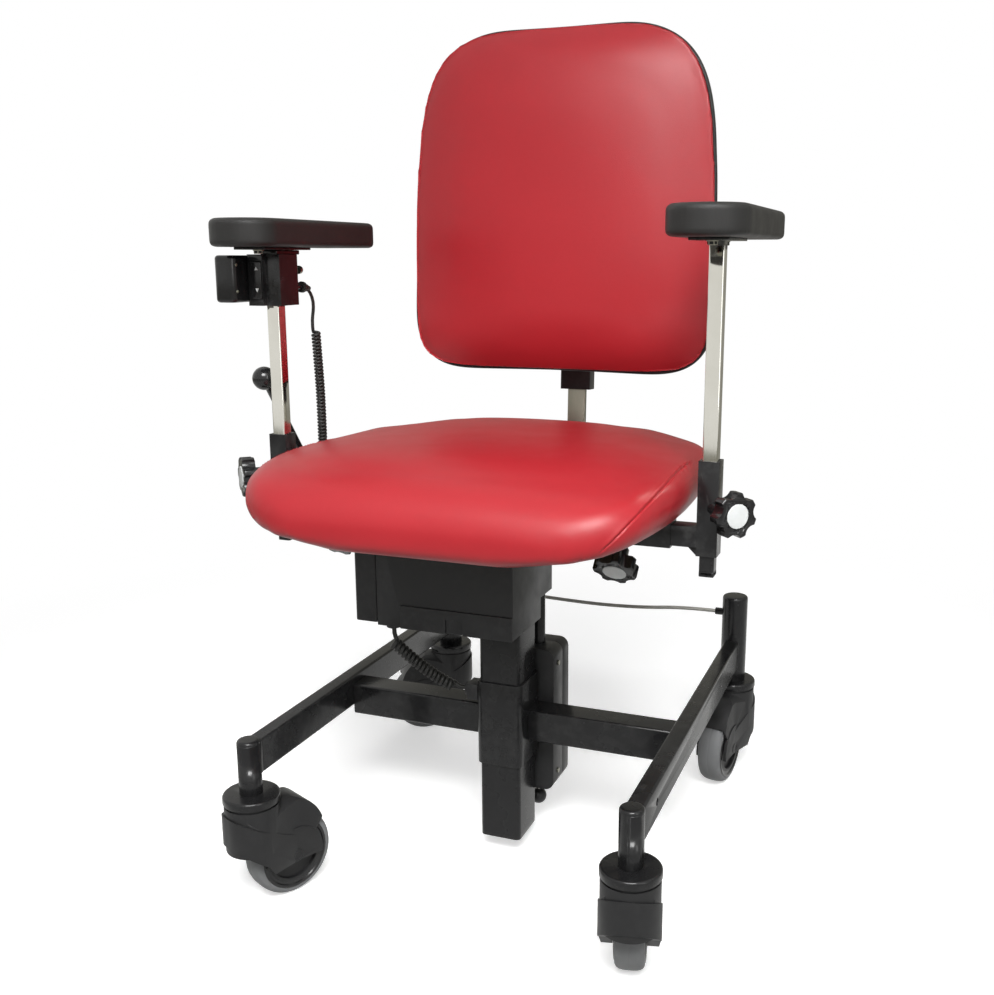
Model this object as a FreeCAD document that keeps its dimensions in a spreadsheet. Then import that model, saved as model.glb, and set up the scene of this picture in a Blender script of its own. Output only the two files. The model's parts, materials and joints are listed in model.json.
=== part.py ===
import FreeCAD, Part
import math
import os
import re
from types import SimpleNamespace

import Sketcher
from FreeCAD import Placement, Rotation, Vector

# Treatment chair. Millimetres, +Z up, origin on the floor midway between the four caster posts.
# The sitter faces -Y, so the sitter's right hand is on -X.

doc = FreeCAD.newDocument("treatment_chair")
sheet = doc.addObject("Spreadsheet::Sheet", "Sizes")

SIZES = {
    # shared
    "overrun": 2,
    "running_clearance": 0.3,
    "press_clearance": 0.05,
    # base frame
    "post_x": 222,
    "post_y": 268,
    "front_post_radius": 13,
    "rear_post_radius": 17.5,
    "post_bottom": 137,
    "front_post_top": 201,
    "rear_post_top": 260,
    "post_cap_height": 6,
    "post_cap_round": 4,
    "stem_radius": 10,
    "stem_rise": 48,
    "rail_width": 20,
    "rail_height": 40,
    "rail_top": 197,
    "tube_wall": 2,
    "rail_corner": 3,
    "accessory_hole_radius": 4.2,
    "accessory_hole_from_post": 62,
    "accessory_hole_below_top": 20,
    "cross_depth": 36,
    "cross_height": 40,
    "cross_top": 186,
    "cross_front": -52,
    "cross_corner": 3,
    # column and its guide sleeve
    "column_width": 52,
    "column_depth": 59,
    "column_corner": 6,
    "column_wall": 3,
    "column_y": -42,
    "column_bottom": 20,
    "column_plug_height": 8,
    "column_top": 440,
    "glide_thickness": 1.2,
    "glide_height": 24,
    "sleeve_wall": 2,
    "sleeve_bottom": 118,
    "sleeve_top": 224,
    "rib_count": 4,
    "rib_height": 3,
    "rib_reach": 3,
    "rib_depth": 14,
    # actuator behind the column
    "actuator_width": 84,
    "actuator_depth": 58,
    "actuator_x": 6,
    "actuator_bottom": 62,
    "actuator_top": 250,
    "actuator_corner": 12,
    "actuator_wall": 3,
    "actuator_split": 34,
    "actuator_panel_inset": 16,
    "actuator_panel_depth": 2,
    "spindle_x": 18,
    "spindle_back": 27,
    "rod_radius": 8.5,
    "rod_engagement": 24,
    "motor_radius": 16,
    "motor_height": 96,
    "screw_head_radius": 3.2,
    "screw_head_height": 1.6,
    "screw_inset": 9,
    "release_stem_radius": 4,
    "release_ball_radius": 10.5,
    "release_ball_drop": 24,
    "release_stem_rise": 10,
    # brake cable between the rear posts
    "cable_radius": 2.4,
    "cable_gland_radius": 5,
    "cable_gland_length": 10,
    "cable_below_top": 26,
    # casters
    "wheel_radius": 50,
    "wheel_width": 32,
    "hub_radius": 35,
    "hub_bore": 6.2,
    "hub_recess": 5,
    "hub_boss_radius": 13,
    "tread_round": 9,
    "axle_radius": 6,
    "caster_trail": 43,
    "hood_gap": 1.6,
    "skirt_half_width": 32.5,
    "skirt_axle_half_width": 22,
    "skirt_step": 1.6,
    "skirt_corner": 29,
    "skirt_front": -32.5,
    "skirt_reach": 92,
    "axle_cover_radius": 34,
    "head_radius": 31,
    "head_bottom": 70,
    "head_groove": 2,
    "head_groove_height": 3,
    "head_top": 127.5,
    "disc_radius": 32,
    "disc_round": 3,
    "kingpin_height": 55.5,
    "kingpin_drop": "=head_top - wheel_radius - kingpin_height",
    "angle_front_left": 65,
    "angle_front_right": 103,
    "angle_rear_left": 213,
    "angle_rear_right": -99,
    # lift travel and what the column carries
    "lift_travel": 140,
    "head_plate_width": 180,
    "head_plate_front": -98,
    "head_plate_back": 62,
    "pan_bottom": 454.5,
    "pan_thickness": 10,
    "pan_half_width": 200,
    "pan_front": -245,
    "pan_back": 128,
    "pan_corner": 40,
    "box_left": -147,
    "box_right": 30,
    "box_front": -100,
    "box_back": 35,
    "box_bottom": 290,
    "box_wall": 3,
    "box_step_back": -6,
    "box_step_height": 26,
    "battery_width": 30,
    "battery_bottom": 293,
    "battery_corner": 4,
    "lip_left": -115,
    "lip_height": 29,
    "lip_thickness": 3,
    "latch_x": -44,
    "latch_width": 22,
    "latch_height": 18,
    # armrest receiver and brackets
    "receiver_size": 27,
    "receiver_wall": 2.2,
    "receiver_half_length": 220,
    "arm_y": -116,
    "arm_x": 258,
    "bar_size": 22,
    "bar_inner_end": 70,
    "socket_size": 22,
    "socket_bottom": 421,
    "socket_top": 522,
    "arm_tube": 16,
    "arm_tube_wall": 1.5,
    "arm_tube_corner": 2.2,
    "arm_tube_bottom": 392,
    "arm_plug_height": 4,
    "gusset_size": 9,
    "gusset_thickness": 18,
    "boss_radius": 8,
    "boss_reach": 6,
    "height_knob_z": 473,
    "width_knob_x": 167,
    # star knobs
    "knob_radius": 24,
    "knob_thickness": 15,
    "knob_neck_radius": 10,
    "knob_neck_length": 14,
    "knob_lobes": 7,
    "scallop_radius": 10,
    "scallop_offset": 29,
    "knob_round": 2,
    "knob_shank_radius": 3.5,
    "knob_cap_radius": 13,
    "knob_cap_height": 1.5,
    # arm pads
    "pad_width": 82,
    "pad_thickness": 32,
    "pad_front": -204,
    "pad_back": 58,
    "pad_bottom": 738,
    "right_arm_raise": 8,
    "pad_nose_radius": 38,
    "pad_tail_radius": 14,
    "pad_edge_round": 6,
    "plate_length": 96,
    "plate_width": 40,
    "plate_thickness": 3,
    "plate_screw_pitch": 60,
    "plate_screw_radius": 5,
    "plate_screw_height": 4,
    # handset on the right-hand arm
    "clamp_left": -284,
    "clamp_right": -244,
    "clamp_front": -134,
    "clamp_back": -86,
    "clamp_bottom": 672,
    "clamp_top": 730,
    "clamp_corner": 4,
    "handset_width": 27,
    "handset_front": -160,
    "handset_back": -106,
    "handset_bottom": 676,
    "handset_top": 729,
    "handset_corner": 8,
    "rocker_width": 13,
    "rocker_height": 42,
    "rocker_thickness": 5,
    "rocker_recess": 3,
    "rocker_tilt": 6,
    "rocker_x": -270,
    "relief_radius": 4.6,
    "relief_tip_radius": 2.9,
    "relief_length": 16,
    "relief_x": -252,
    "relief_z": 692,
    # brake lever on the right-hand arm bracket
    "lever_plate_thickness": 5,
    "lever_plate_front": -112,
    "lever_plate_back": -14,
    "lever_plate_bottom": 452,
    "lever_plate_top": 492,
    "lever_plate_corner": 8,
    "lever_pivot_y": -31,
    "lever_pivot_z": 473,
    "lever_ball_y": -113,
    "lever_ball_z": 586,
    "lever_ball_radius": 14,
    "lever_rod_radius": 4.5,
    "lever_hub_radius": 11,
    "lever_hub_width": 14,
    "lever_pin_radius": 4,
    # cord plug on the right-hand arm bracket and motor plug on the sleeve
    "arm_plug_width": 26,
    "arm_plug_depth": 18,
    "arm_plug_bottom": 446,
    "arm_plug_top": 474,
    "motor_plug_width": 14,
    "motor_plug_depth": 22,
    "motor_plug_height": 20,
    "motor_plug_bottom": 197,
    "motor_plug_y": -58,
    "gland_radius": 9,
    "gland_length": 4,
    "coil_lead_share": 4,
    # curly cords
    "handset_wire_radius": 1.8,
    "handset_coil_radius": 4.0,
    "handset_curls": 34,
    "motor_wire_radius": 2.5,
    "motor_coil_radius": 5.2,
    "motor_curls": 16,
    "motor_cord_x": -131,
    "motor_cord_y": -88,
    "motor_cord_sag": 9,
    # seat cushion
    "seat_half_width": 240,
    "seat_front": -295,
    "seat_back": 147,
    "seat_bottom": 455,
    "seat_front_drop": 27,
    "seat_rim": 511,
    "seat_crown": 12,
    "seat_draw": 20,
    "seat_edge_rise": 16,
    # back
    "back_pin_y": 120,
    "back_pin_z": 440,
    "back_pin_radius": 4,
    "back_lean": 2.7,
    "back_half_width": 204,
    "back_bottom": 583,
    "back_height": 427,
    "back_edge_y": 131,
    "back_rim_depth": 18,
    "back_crown": 16,
    "shell_thickness": 14,
    "shell_inset": 1.5,
    "back_bar_width": 25,
    "back_bar_thickness": 8,
    "back_bar_y": 216,
    "back_bar_top": 712,
    "back_bar_bend": 26,
    "back_bar_front": 98,
    "back_bracket_half_width": 21,
    "back_bracket_front": 66,
    "back_bracket_back": 134,
    "back_bracket_bottom": 424,
    "back_bracket_roof": 3,
    "back_sleeve_half_width": 21,
    "back_sleeve_bottom": 553,
    "back_sleeve_top": 690,
    "back_sleeve_wall": 6,
    "back_knob_z": 600,
}

for row, (alias, number) in enumerate(SIZES.items(), start=1):
    sheet.set(f"A{row}", alias)
    sheet.set(f"B{row}", str(number))
    sheet.setAlias(f"B{row}", alias)
doc.recompute()

size = SimpleNamespace(**{alias: float(sheet.get(alias)) for alias in SIZES})
parts = []


def in_sheet(text):
    """The expression with every size's name pointing at its cell."""
    return re.sub(r"[a-z_]+", lambda m: f"Sizes.{m[0]}" if m[0] in SIZES else m[0], str(text))


def bind(obj, **properties):
    for name, text in properties.items():
        obj.setExpression(name, in_sheet(text))
    return obj


def place(obj, x="0", y="0", z="0", turn=None):
    """Puts an object at a bound place, after an optional fixed turn."""
    if turn is not None:
        obj.Placement = Placement(Vector(), turn)
    for letter, text in zip("xyz", (x, y, z)):
        obj.setExpression(f"Placement.Base.{letter}", in_sheet(text))
    return obj


def keep(obj, label):
    """Marks an object as a sub-part, whose label names its file."""
    obj.Label = label
    parts.append(obj)
    return obj


def block(x0, x1, y0, y1, z0, z1, name="block"):
    obj = doc.addObject("Part::Box", name)
    bind(obj, Length=f"({x1}) - ({x0})", Width=f"({y1}) - ({y0})", Height=f"({z1}) - ({z0})")
    return place(obj, x0, y0, z0)


# The share of a radius that a corner at 45 degrees takes along each side.
SLOPE = math.sqrt(0.5)

TURN = {
    "z": Rotation(),
    "x": Rotation(Vector(0, 1, 0), 90),
    "y": Rotation(Vector(1, 0, 0), -90),
}


def rod(radius, length, x="0", y="0", z="0", along="z", name="rod"):
    obj = doc.addObject("Part::Cylinder", name)
    bind(obj, Radius=radius, Height=length)
    return place(obj, x, y, z, TURN[along])


def ball(radius, x, y, z, name="ball"):
    obj = doc.addObject("Part::Sphere", name)
    bind(obj, Radius=radius)
    return place(obj, x, y, z)


def cone(radius, tip, length, x, y, z, along="z", name="cone"):
    obj = doc.addObject("Part::Cone", name)
    bind(obj, Radius1=radius, Radius2=tip, Height=length)
    return place(obj, x, y, z, TURN[along])


def fuse(*shapes):
    obj = doc.addObject("Part::MultiFuse", "fuse")
    obj.Shapes = list(shapes)
    obj.Refine = True
    return obj


def cut(base, *tools):
    obj = doc.addObject("Part::Cut", "cut")
    obj.Base = base
    obj.Tool = tools[0] if len(tools) == 1 else fuse(*tools)
    return obj


def group(*shapes):
    obj = doc.addObject("Part::Compound", "group")
    obj.Links = list(shapes)
    return obj


def origin_plane(body, role):
    return next(f for f in body.Origin.OriginFeatures if f.Role == role)


def new_body(name):
    return doc.addObject("PartDesign::Body", name)


def new_sketch(body, role="XY_Plane"):
    sketch = body.newObject("Sketcher::SketchObject", "sketch")
    sketch.AttachmentSupport = (origin_plane(body, role), [""])
    sketch.MapMode = "FlatFace"
    return sketch


def constrain(sketch, kind, *where, to):
    """Adds one dimension to a sketch and binds it to the sheet."""
    index = sketch.addConstraint(Sketcher.Constraint(kind, *where))
    sketch.setExpression(f"Constraints[{index}]", in_sheet(to))


def rounded_rectangle(sketch, width, depth, corner, start_width, start_depth, start_corner):
    """A rectangle with round corners, centred on the sketch's origin."""
    half_x, half_y, r = start_width / 2, start_depth / 2, start_corner
    corners = [
        (half_x, half_y, 0),
        (-half_x, half_y, 90),
        (-half_x, -half_y, 180),
        (half_x, -half_y, 270),
    ]
    arcs = []
    for cx, cy, angle in corners:
        centre = Vector(cx - math.copysign(r, cx), cy - math.copysign(r, cy), 0)
        circle = Part.Circle(centre, Vector(0, 0, 1), r)
        arc = Part.ArcOfCircle(circle, math.radians(angle), math.radians(angle + 90))
        arcs.append(sketch.addGeometry(arc))
    lines = []
    for index, arc in enumerate(arcs):
        following = arcs[(index + 1) % len(arcs)]
        start = sketch.getPoint(arc, 2)
        end = sketch.getPoint(following, 1)
        lines.append(sketch.addGeometry(Part.LineSegment(start, end)))
    for index, line in enumerate(lines):
        following = arcs[(index + 1) % len(arcs)]
        sketch.addConstraint(Sketcher.Constraint("Tangent", arcs[index], 2, line, 1))
        sketch.addConstraint(Sketcher.Constraint("Tangent", line, 2, following, 1))
        kind = "Horizontal" if index % 2 == 0 else "Vertical"
        sketch.addConstraint(Sketcher.Constraint(kind, line))
    for arc in arcs[1:]:
        sketch.addConstraint(Sketcher.Constraint("Equal", arcs[0], arc))
    constrain(sketch, "Radius", arcs[0], r, to=corner)
    constrain(sketch, "DistanceX", -1, 1, lines[3], 1, half_x, to=f"({width}) / 2")
    constrain(sketch, "DistanceX", lines[1], 1, -1, 1, half_x, to=f"({width}) / 2")
    constrain(sketch, "DistanceY", -1, 1, lines[0], 1, half_y, to=f"({depth}) / 2")
    constrain(sketch, "DistanceY", lines[2], 1, -1, 1, half_y, to=f"({depth}) / 2")


def pad(body, sketch, length):
    feature = body.newObject("PartDesign::Pad", "pad")
    feature.Profile = sketch
    bind(feature, Length=length)
    return feature


def number(text):
    """The value of an expression, read through a scratch cell of the sheet."""
    sheet.set("D1", "=" + str(text))
    sheet.recompute()
    value = float(sheet.get("D1"))
    sheet.clear("D1")
    return value


def bar_body(name, width, depth, corner, length, wall=None):
    """A round-cornered bar or tube along its own +Z, centred on its own axis."""
    body = new_body(name)
    sketch = new_sketch(body)
    rounded_rectangle(sketch, width, depth, corner, number(width), number(depth), number(corner))
    if wall is not None:
        inner = (f"({width}) - 2 * {wall}", f"({depth}) - 2 * {wall}", f"({corner}) - {wall}")
        rounded_rectangle(sketch, *inner, *(number(text) for text in inner))
    pad(body, sketch, length)
    return body


def turned_body(name, profile):
    """A body of revolution about its own Z; the profile is a list of radius and height expressions."""
    body = new_body(name)
    sketch = new_sketch(body, "XZ_Plane")
    values = [(number(x), number(y)) for x, y in profile]
    lines = []
    for (x0, y0), (x1, y1) in zip(values, values[1:] + values[:1]):
        segment = Part.LineSegment(Vector(x0, y0, 0), Vector(x1, y1, 0))
        lines.append(sketch.addGeometry(segment))
    for index, line in enumerate(lines):
        following = lines[(index + 1) % len(lines)]
        sketch.addConstraint(Sketcher.Constraint("Coincident", line, 2, following, 1))
    for line, (x, y), (x0, y0) in zip(lines, profile, values):
        constrain(sketch, "DistanceX", -1, 1, line, 1, x0, to=x)
        constrain(sketch, "DistanceY", -1, 1, line, 1, y0, to=y)
    feature = body.newObject("PartDesign::Revolution", "turn")
    feature.Profile = sketch
    feature.ReferenceAxis = (sketch, ["V_Axis"])
    feature.Angle = 360
    return body


def round_edges(obj, radius, chosen):
    """Rounds the edges of a Part object that the test picks."""
    doc.recompute()
    feature = doc.addObject("Part::Fillet", "round")
    feature.Base = obj
    picked = [i for i, edge in enumerate(obj.Shape.Edges, start=1) if chosen(edge)]
    feature.Edges = [(i, radius, radius) for i in picked]
    return feature


def is_level(edge, height):
    return all(abs(v.Z - height) < size.press_clearance for v in edge.Vertexes)


def shape_part(label, shape, turn=None):
    """A sub-part whose solid is set directly."""
    obj = doc.addObject("Part::Feature", label)
    obj.Shape = shape
    if turn is not None:
        obj.Placement = turn
    return keep(obj, label)


def frame_posts():
    for name, at_y, radius, top in (
        ("front_posts", "-post_y", "front_post_radius", "front_post_top"),
        ("rear_posts", "post_y", "rear_post_radius", "rear_post_top"),
    ):
        pair = []
        for sign in ("-", ""):
            at_x = f"{sign}post_x"
            tube = rod(radius, f"{top} - post_cap_height - post_bottom", at_x, at_y, "post_bottom")
            bore = rod("stem_radius + press_clearance", "stem_rise + overrun", at_x, at_y,
                       "post_bottom - overrun")
            if name == "rear_posts":
                start = f"{at_x} - {radius} - cable_gland_length" if sign == "" else at_x
                gland = rod("cable_gland_radius", f"{radius} + cable_gland_length", start, at_y,
                            f"{top} - cable_below_top", "x")
                tube = fuse(tube, gland)
            pair.append(cut(tube, bore))
            cap = rod(radius, "post_cap_height", at_x, at_y, f"{top} - post_cap_height")
            height = getattr(size, top)
            pair.append(round_edges(cap, size.post_cap_round, lambda e: is_level(e, height)))
        keep(group(*pair), name)


def side_rails():
    length = "2 * post_y - front_post_radius - rear_post_radius"
    for side, sign in (("left", "-"), ("right", "")):
        rail = bar_body(f"rail_{side}", "rail_width", "rail_height", "rail_corner", length, "tube_wall")
        place(rail, f"{sign}post_x", "rear_post_radius * -1 + post_y", "rail_top - rail_height / 2",
              Rotation(Vector(1, 0, 0), 90))
        if side == "right":
            hole = rod("accessory_hole_radius", "rail_width + 2 * overrun",
                       "post_x - rail_width / 2 - overrun", "accessory_hole_from_post - post_y",
                       "rail_top - accessory_hole_below_top", "x")
            rail = cut(rail, hole)
        keep(rail, f"side_rail_{side}")


def cross_bars():
    bars = []
    half_sleeve = "(column_width / 2 + running_clearance + glide_thickness + sleeve_wall)"
    length = f"post_x - rail_width / 2 - {half_sleeve}"
    for start in ("rail_width / 2 - post_x", half_sleeve):
        body = bar_body("cross", "cross_height", "cross_depth", "cross_corner", length, "tube_wall")
        place(body, start, "cross_front + cross_depth / 2", "cross_top - cross_height / 2", TURN["x"])
        bars.append(body)
    keep(group(*bars), "cross_bars")


def column_guide():
    for name, outset, wall, spans in (
        ("column_sleeve", "running_clearance + glide_thickness + sleeve_wall", "sleeve_wall",
         [("sleeve_bottom", "sleeve_top - sleeve_bottom")]),
        ("sleeve_glides", "running_clearance + glide_thickness", "glide_thickness",
         [("sleeve_bottom", "glide_height"), ("sleeve_top - glide_height", "glide_height")]),
    ):
        rings = []
        for bottom, height in spans:
            width = f"column_width + 2 * ({outset})"
            depth = f"column_depth + 2 * ({outset})"
            body = bar_body("guide", width, depth, f"column_corner + {outset}", height, wall)
            rings.append(place(body, "0", "column_y", bottom))
        if name == "column_sleeve":
            face = f"-column_width / 2 - ({outset})"
            ribs = []
            for index in range(int(size.rib_count)):
                low = f"sleeve_bottom + {2 * index + 1} * rib_height"
                ribs.append(block(f"{face} - rib_reach", face, "column_y - rib_depth",
                                  "column_y + rib_depth", low, f"{low} + rib_height"))
            keep(fuse(rings[0], *ribs), name)
        else:
            keep(group(*rings), name)


def lift_column():
    tube = bar_body("column", "column_width", "column_depth", "column_corner",
                    "column_top - column_bottom - column_plug_height", "column_wall")
    place(tube, "0", "column_y", "column_bottom + column_plug_height")
    plug = bar_body("plug", "column_width", "column_depth", "column_corner", "column_plug_height")
    place(plug, "0", "column_y", "column_bottom")
    keep(group(tube, plug), "column_tube")
    plate = block("-head_plate_width / 2", "head_plate_width / 2", "head_plate_front", "head_plate_back",
                  "column_top", "pan_bottom")
    keep(plate, "lift_head")
    pan = bar_body("pan", "2 * pan_half_width", "pan_back - pan_front", "pan_corner", "pan_thickness")
    keep(place(pan, "0", "(pan_front + pan_back) / 2", "pan_bottom"), "seat_pan")


ACTUATOR_FRONT = "(column_y + column_depth / 2 + running_clearance + glide_thickness + sleeve_wall)"
SPINDLE_Y = f"({ACTUATOR_FRONT} + spindle_back)"


def actuator():
    front = ACTUATOR_FRONT
    low = "actuator_x - actuator_width / 2"
    high = "actuator_x + actuator_width / 2"
    hull = bar_body("actuator", "actuator_width", "actuator_top - actuator_bottom", "actuator_corner",
                    "actuator_depth")
    turn = Rotation(Vector(1, 0, 0), 90)
    middle = "(actuator_top + actuator_bottom) / 2"
    place(hull, "actuator_x", f"{front} + actuator_depth", middle, turn)
    hollow = bar_body("hollow", "actuator_width - 2 * actuator_wall",
                      "actuator_top - actuator_bottom - 2 * actuator_wall",
                      "actuator_corner - actuator_wall", "actuator_depth - 2 * actuator_wall")
    place(hollow, "actuator_x", f"{front} + actuator_depth - actuator_wall", middle, turn)
    rod_hole = rod("rod_radius + running_clearance", "actuator_corner + overrun", "spindle_x", SPINDLE_Y,
                   "actuator_top - actuator_corner")
    stem_hole = rod("release_stem_radius + running_clearance", "actuator_corner + overrun", "spindle_x",
                    SPINDLE_Y, "actuator_bottom - overrun")
    shell = cut(hull, hollow, rod_hole, stem_hole)
    span = (f"{low} - overrun", f"{high} + overrun")
    heights = ("actuator_bottom - overrun", "actuator_top + overrun")
    front_half = block(*span, f"{front} - overrun", f"{front} + actuator_split", *heights)
    rear_half = block(*span, f"{front} + actuator_split", f"{front} + actuator_depth + overrun", *heights)
    keep(cut(shell, rear_half), "actuator_housing")
    recess = block(f"{low} + actuator_panel_inset", f"{high} - actuator_panel_inset",
                   f"{front} + actuator_depth - actuator_panel_depth",
                   f"{front} + actuator_depth + overrun",
                   "actuator_bottom + actuator_panel_inset", "actuator_top - actuator_panel_inset")
    keep(cut(shell, front_half, recess), "actuator_cover")
    motor_x = f"{low} + actuator_wall + press_clearance + motor_radius"
    motor = rod("motor_radius", "motor_height", motor_x, SPINDLE_Y, "actuator_bottom + actuator_corner")
    keep(motor, "drive_motor")
    screws = []
    head = ("screw_head_radius", "screw_head_height")
    levels = (
        "actuator_bottom + actuator_corner + screw_inset",
        "actuator_top - actuator_corner - screw_inset",
    )
    for level in levels:
        for across in (f"{low} + screw_inset", f"{high} - screw_inset"):
            screws.append(rod(*head, across, f"{front} + actuator_depth", level, "y"))
        screws.append(rod(*head, high, f"{front} + actuator_split / 2", level, "x"))
    keep(group(*screws), "actuator_screws")
    push = rod("rod_radius",
               "box_bottom + box_step_height + lift_travel + rod_engagement - actuator_top",
               "spindle_x", SPINDLE_Y, "actuator_top - lift_travel - rod_engagement")
    keep(push, "push_rod")
    stem = rod("release_stem_radius", "release_stem_rise + release_ball_drop + actuator_wall",
               "spindle_x", SPINDLE_Y, "actuator_bottom - release_ball_drop")
    collar = rod("release_stem_radius + 2 * running_clearance + overrun", "overrun",
                 "spindle_x", SPINDLE_Y,
                 "actuator_bottom + actuator_wall + release_stem_rise - overrun")
    knob = ball("release_ball_radius", "spindle_x", SPINDLE_Y, "actuator_bottom - release_ball_drop")
    keep(fuse(stem, collar, knob), "release_knob")


CASTERS = {
    "front_left": ("-post_x", "-post_y", "angle_front_left"),
    "front_right": ("post_x", "-post_y", "angle_front_right"),
    "rear_left": ("-post_x", "post_y", "angle_rear_left"),
    "rear_right": ("post_x", "post_y", "angle_rear_right"),
}


def caster_stems():
    stems = []
    for at_x, at_y, _ in CASTERS.values():
        disc = rod("disc_radius", "post_bottom - head_top - running_clearance", at_x, at_y,
                   "head_top + running_clearance")
        disc = round_edges(disc, size.disc_round, lambda e: is_level(e, size.post_bottom))
        pin = rod("stem_radius", "stem_rise + post_bottom - head_top + kingpin_drop", at_x, at_y,
                  "head_top - kingpin_drop")
        stems.append(fuse(disc, pin))
    keep(group(*stems), "caster_stems")


def upright_wheel(body, width):
    """Turns a revolved wheel so that its axle runs along its own Y, centred."""
    return place(body, "0", f"{width} / 2", "0", Rotation(Vector(1, 0, 0), 90))


# Caster outlines in the wheel's plane: distance behind the kingpin as a share of the wheel radius and
# height as a share of the head's top, then the same for the middle of an arc to the next corner, if any.
HOOD_SHARES = [
    ((-0.40, 0.550), None),
    ((-0.40, 0.975), None),
    ((0.48, 0.975), (1.17, 0.890)),
    ((1.58, 0.667), None),
    ((1.24, 0.486), None),
]
SKIRT_SHARES = [
    ((-0.65, 0.625), None),
    ((-0.65, 0.910), None),
    ((1.40, 0.470), None),
    ((0.86, 0.392), None),
    ((0.44, 0.180), None),
    ((0.02, 0.430), None),
]
# The hood's section across the wheel: where its dome springs and its top, as shares of the head's top.
DOME_SPRING_SHARE = 0.72
DOME_TOP_SHARE = 0.975


def wheel_plane_prism(shares, half):
    """A caster outline drawn out to both sides of the wheel's plane."""
    def spot(share):
        return Vector(share[0] * size.wheel_radius, -half, share[1] * size.head_top)

    wire = section_wire([(spot(at), None if mid is None else spot(mid)) for at, mid in shares])
    return Part.Face(wire).extrude(Vector(0, 2 * half, 0))


def caster_plan(inset):
    """The caster's outline from above, drawn up to the head's top: broad nose, narrower at the axle."""
    front, corner = size.skirt_front + inset, size.skirt_corner
    wide, narrow = size.skirt_half_width - inset, size.skirt_axle_half_width - inset
    lean = corner * SLOPE
    side = [
        (front + corner - lean, wide - corner + lean),
        (front + corner, wide),
        (size.caster_trail, narrow),
        (size.skirt_reach, narrow),
    ]
    nose = Vector(front, corner - wide, 0)
    points = [(nose, Vector(side[0][0], -side[0][1], 0))]
    points += [(Vector(x, -y, 0), None) for x, y in side[1:]]
    points += [(Vector(x, y, 0), None) for x, y in side[:1:-1]]
    points += [(Vector(side[1][0], side[1][1], 0), Vector(side[0][0], side[0][1], 0))]
    points += [(Vector(front, wide - corner, 0), None)]
    return Part.Face(section_wire(points)).extrude(Vector(0, 0, size.head_top))


def hood_dome():
    """A long block with a round top, which rounds the hood across the wheel."""
    half = size.skirt_half_width
    spring, top = DOME_SPRING_SHARE * size.head_top, DOME_TOP_SHARE * size.head_top
    front = size.skirt_front - size.overrun
    wire = section_wire([
        (Vector(front, -half, 0), None),
        (Vector(front, half, 0), None),
        (Vector(front, half, spring), Vector(front, 0, top)),
        (Vector(front, -half, spring), None),
    ])
    return Part.Face(wire).extrude(Vector(size.skirt_reach - front, 0, 0))


def caster_fork():
    """A head on the kingpin, a broad skirt down to the axle and a rounded hood over the wheel."""
    axle_spot = Vector(size.caster_trail, -size.skirt_axle_half_width, size.wheel_radius)
    across = Vector(0, 1, 0)
    cover = Part.makeCylinder(size.axle_cover_radius, 2 * size.skirt_axle_half_width, axle_spot, across)
    skirt = wheel_plane_prism(SKIRT_SHARES, size.skirt_half_width).common(caster_plan(0)).fuse(cover)
    hood = wheel_plane_prism(HOOD_SHARES, size.skirt_half_width).common(caster_plan(size.skirt_step))
    hood = hood.common(hood_dome())
    groove_z = size.head_top - size.head_groove_height
    head = Part.makeCylinder(size.head_radius, groove_z - size.head_bottom,
                             Vector(0, 0, size.head_bottom))
    collar = Part.makeCylinder(size.head_radius - size.head_groove, size.head_groove_height,
                               Vector(0, 0, groove_z))
    slot = size.wheel_width / 2 + size.hood_gap
    room = Part.makeCylinder(size.wheel_radius + size.hood_gap, 2 * slot,
                             Vector(size.caster_trail, -slot, size.wheel_radius), across)
    socket = Part.makeCylinder(size.stem_radius + size.running_clearance,
                               size.kingpin_drop + 2 * size.overrun,
                               Vector(0, 0, size.head_top - size.kingpin_drop - size.overrun))
    bore = Part.makeCylinder(size.axle_radius + size.press_clearance,
                             2 * (size.skirt_axle_half_width + size.overrun),
                             axle_spot - across * size.overrun, across)
    axle = Part.makeCylinder(size.axle_radius, 2 * size.skirt_axle_half_width, axle_spot, across)
    solid = head.fuse([collar, skirt, hood]).cut(room).cut(socket).cut(bore).removeSplitter()
    return Part.makeCompound([solid, axle])


def casters():
    fork = caster_fork()
    for name, (at_x, at_y, angle) in CASTERS.items():
        turn = Rotation(Vector(0, 0, 1), getattr(size, angle))
        place(shape_part(f"caster_fork_{name}", fork), at_x, at_y, "0", turn)

        side = "hub_recess"
        hub = turned_body("hub", [
            ("hub_bore", "0"), ("hub_boss_radius", "0"), ("hub_boss_radius", side),
            ("hub_radius - hub_recess", side), ("hub_radius - hub_recess", "0"), ("hub_radius", "0"),
            ("hub_radius", "wheel_width"), ("hub_radius - hub_recess", "wheel_width"),
            ("hub_radius - hub_recess", f"wheel_width - {side}"),
            ("hub_boss_radius", f"wheel_width - {side}"), ("hub_boss_radius", "wheel_width"),
            ("hub_bore", "wheel_width"),
        ])
        tyre = turned_body("tyre", [
            ("hub_radius", "0"), ("wheel_radius - tread_round", "0"), ("wheel_radius", "tread_round"),
            ("wheel_radius", "wheel_width - tread_round"), ("wheel_radius - tread_round", "wheel_width"),
            ("hub_radius", "wheel_width"),
        ])
        for part, label in ((hub, "caster_hub"), (tyre, "caster_tyre")):
            wheel = group(upright_wheel(part, "wheel_width"))
            a = math.radians(getattr(size, angle))
            out_x, out_y = math.cos(a), math.sin(a)
            place(wheel, f"{at_x} + caster_trail * {out_x}", f"{at_y} + caster_trail * {out_y}",
                  "wheel_radius", turn)
            keep(wheel, f"{label}_{name}")


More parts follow.
